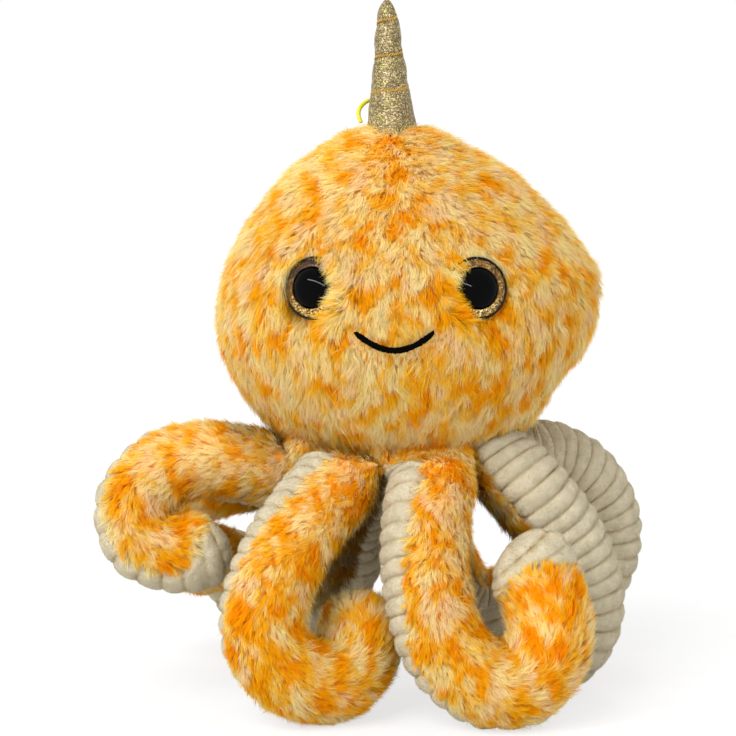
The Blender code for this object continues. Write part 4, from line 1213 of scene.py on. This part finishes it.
def horn_outer(angle, height):
    """Cloth radius and distance to the winding thread: drawn in and creased along it."""
    gaps = np.stack([np.abs(height - horn_turn_height(angle, turn)) for turn in range(-1, 5)])
    nearest = gaps.min(axis=0)
    first = horn_turn_height(0, 0)
    last = first + HORN_TURNS * HORN_PITCH
    fade = ease((height - first + HORN_PITCH / 2) / HORN_PITCH)
    fade = fade * ease((last + HORN_PITCH - height) / HORN_PITCH)
    pinch = HORN_PINCH * fade * (0.5 + 0.5 * np.cos(math.tau * nearest / HORN_PITCH))
    return horn_radius(height) - pinch, nearest, fade


def horn_points(angle, height, radius):
    share = height / HORN_HEIGHT
    base = head_axis + UP * (head_top + SEAT_GAP + HORN_LIFT)
    lean = -HORN_SHIFT_LEFT - HORN_LEAN_LEFT * share
    axis = np.stack([lean, HORN_LEAN_BACK * share * np.abs(share), height], axis=-1) + base
    ring = np.stack([np.sin(angle), -np.cos(angle), np.zeros_like(angle)], axis=-1)
    return axis + ring * radius[..., None]


def build_horn(finishes):
    """Metallic cloth with a crease along the thread, and the thread's slanting stitches."""
    rng = rng_for("horn")
    straight = np.linspace(HORN_FOOT, HORN_HEIGHT - HORN_ROUNDING, HORN_ROWS)
    cap = HORN_HEIGHT - HORN_ROUNDING * (1 - np.sin(np.linspace(0, math.pi / 2, 30)[1:]))
    heights = np.concatenate([straight, cap])
    angles = np.arange(HORN_COLUMNS) * math.tau / HORN_COLUMNS
    angle, height = np.meshgrid(angles, heights)
    radius, nearest, fade = horn_outer(angle, height)
    crease = np.exp(-(nearest / HORN_CREASE_REACH) ** 2) * fade
    puckers = 0.5 + 0.5 * np.cos(angle * HORN_PUCKERS)
    close = np.exp(-(nearest / HORN_PUCKER_REACH) ** 2) * fade
    radius = radius - HORN_CREASE * crease - HORN_PUCKER * close * puckers
    plain = horn_points(angle, height, radius)
    waves = field(plain, 150.0, 5.5)[..., 0] * HORN_WAVE + field(plain, 480.0, 9.5)[..., 0] * HORN_RIPPLE
    radius = np.maximum(radius + waves * np.minimum(1, radius / HORN_WAVE_RADIUS), HORN_POLE_RADIUS)
    cover = add_grid("horn_cloth", horn_points(angle, height, radius), finishes["horn"], wrap=True)
    present(cover, "horn", "gold_cloth", "horn_cover", "horn_stuffing")

    turned = [HORN_START_ANGLE]
    last = HORN_START_ANGLE + math.tau * HORN_TURNS
    while turned[-1] < last:
        turned.append(turned[-1] + HORN_STITCH_STEP / float(horn_radius(horn_turn_height(turned[-1], 0))))
    turned = np.array(turned)
    count = len(turned)
    ends = []
    for shift in (-0.5, 0.5):
        up = horn_turn_height(turned, 0) + HORN_STITCH_LENGTH * shift * 0.62
        at = turned + HORN_STITCH_LENGTH * shift * 0.70 / horn_radius(up) + rng.normal(0, 0.012, count)
        around = horn_outer(at, up)[0] - HORN_STITCH_SINK
        ends.append(horn_points(at, up, around))
    radii = HORN_STITCH_RADIUS * (1 + rng.normal(0, 0.08, count))
    stitches = capsules("horn_stitches", ends[0], ends[1], radii, finishes["thread"])
    present(stitches, "horn", "ochre_thread", "horn_thread")


def build_loop(finish):
    """The hang loop, a cord whose two ends are sewn in behind the horn's left side."""
    tree = surface_tree([
        node.data for name, node in frame["nodes"].items()
        if name.startswith("head_") and name.endswith("_panel")])
    foot = head_axis + UP * head_top
    points = [foot + np.array(place) for place in LOOP_ROUTE]
    for end in (0, -1):
        above = Vector(points[end] + UP * HORN_HEIGHT)
        points[end][2] = tree.ray_cast(above, Vector((0, 0, -1)))[0].z + SEAT_GAP + LOOP_THICKNESS / 4
    route = smooth_route(points, CURVE_STEPS)
    curve = bpy.data.curves.new("hang_loop_cord", "CURVE")
    curve.dimensions = "3D"
    curve.bevel_depth = LOOP_THICKNESS / 2
    curve.bevel_resolution = 6
    curve.use_fill_caps = True
    spline = curve.splines.new("POLY")
    spline.points.add(len(route) - 1)
    for target, point in zip(spline.points, route):
        target.co = (*point, 1)
    cord = add_object("hang_loop_cord", curve)
    curve.materials.append(finish)
    present(cord, "hang_loop", "yellow_cord", "hang_loop")


# Floor, lights and camera

def build_stage():
    mesh = bpy.data.meshes.new("floor")
    corners = [(x * FLOOR_REACH, y * FLOOR_REACH, 0) for x, y in ((-1, -1), (1, -1), (1, 1), (-1, 1))]
    mesh.from_pydata(corners, [], [(0, 1, 2, 3)])
    mesh.materials.append(floor_material())
    add_object("floor", mesh)

    world = bpy.data.worlds.new("studio")
    bpy.context.scene.world = world
    world.use_nodes = True
    nodes = world.node_tree.nodes
    links = world.node_tree.links
    background = nodes["Background"]
    background.inputs["Color"].default_value = (0.93, 0.96, 1.0, 1)
    background.inputs["Strength"].default_value = WORLD_STRENGTH
    white = nodes.new("ShaderNodeBackground")
    white.inputs["Color"].default_value = (1, 1, 1, 1)
    white.inputs["Strength"].default_value = 1.0
    path = nodes.new("ShaderNodeLightPath").outputs
    mixer = nodes.new("ShaderNodeMixShader")
    seen = path["Is Camera Ray"]
    for ray in ("Is Glossy Ray", "Is Transmission Ray"):
        either = nodes.new("ShaderNodeMath")
        either.operation = "MAXIMUM"
        links.new(seen, either.inputs[0])
        links.new(path[ray], either.inputs[1])
        seen = either.outputs[0]
    links.new(seen, mixer.inputs[0])
    links.new(background.outputs[0], mixer.inputs[1])
    links.new(white.outputs[0], mixer.inputs[2])
    links.new(mixer.outputs[0], nodes["World Output"].inputs["Surface"])

    for name, toward, angle, strength in SUNS:
        lamp = bpy.data.lights.new(name, "SUN")
        lamp.angle = math.radians(angle)
        lamp.energy = strength
        lamp.color = SUN_COLOUR
        item = add_object(name, lamp)
        item.rotation_euler = Vector(toward).to_track_quat("Z", "Y").to_euler()
        item.visible_glossy = False
    target = Vector(CAMERA_TARGET)
    strip = bpy.data.lights.new("strip", "AREA")
    strip.shape = "RECTANGLE"
    strip.size, strip.size_y = STRIP_SIZE
    strip.energy = STRIP_WATTS
    item = add_object("strip", strip)
    item.location = STRIP_PLACE
    aim = (target - item.location).to_track_quat("-Z", "Y")
    item.rotation_euler = (aim @ Quaternion((0, 0, 1), STRIP_SLANT)).to_euler()
    item.visible_diffuse = False
    item.visible_transmission = False

    camera = bpy.data.cameras.new("photo_camera")
    camera.sensor_width = 36
    camera.lens = CAMERA_LENS
    item = add_object("photo_camera", camera)
    back = Vector((0, -math.cos(CAMERA_ELEVATION), math.sin(CAMERA_ELEVATION)))
    item.location = target + back * CAMERA_DISTANCE
    item.rotation_euler = (-back).to_track_quat("-Z", "Y").to_euler()
    bpy.context.scene.camera = item
    bpy.context.scene.view_settings.view_transform = "Standard"


build_head()
for arm_name in ARM_SHARES:
    build_arm(arm_name)
eye_finishes = {
    "button": mottled_material("black_button_gloss", 900.0, (
        (0.3, (0.0005, 0.0006, 0.0007, 1)), (0.7, (0.0012, 0.0013, 0.0015, 1))), 0.05, 0.05),
    "glitter": glitter_material("gold_glitter_flakes"),
    "rim": mottled_material("black_rim", 1200.0, (
        (0.3, (0.002, 0.0015, 0.001, 1)), (0.7, (0.006, 0.004, 0.002, 1))), 0.45, 0.15),
}
for eye_word in ("left", "right"):
    build_eye(eye_word, eye_finishes)
    washer = frame["nodes"][f"{eye_word}_eye_washer"].data
    washer.materials.clear()
    washer.materials.append(mottled_material(f"{eye_word}_washer", 60.0, (
        (0.35, shade(225, 225, 225)), (0.65, shade(240, 240, 240))), 0.5, detail=3.0))
build_mouth(thread_material(
    "black_satin", (0.0008, 0.0008, 0.0008, 1), (0.003, 0.0028, 0.0026, 1), 0.8, 0.02))
build_horn({
    "horn": gold_cloth_material("gold_lame"),
    "thread": thread_material("ochre_stitching", shade(150, 106, 20), shade(214, 170, 60), 0.45),
})
build_loop(thread_material("yellow_cord_thread", shade(205, 198, 20), shade(235, 228, 40), 0.45))
build_stage()
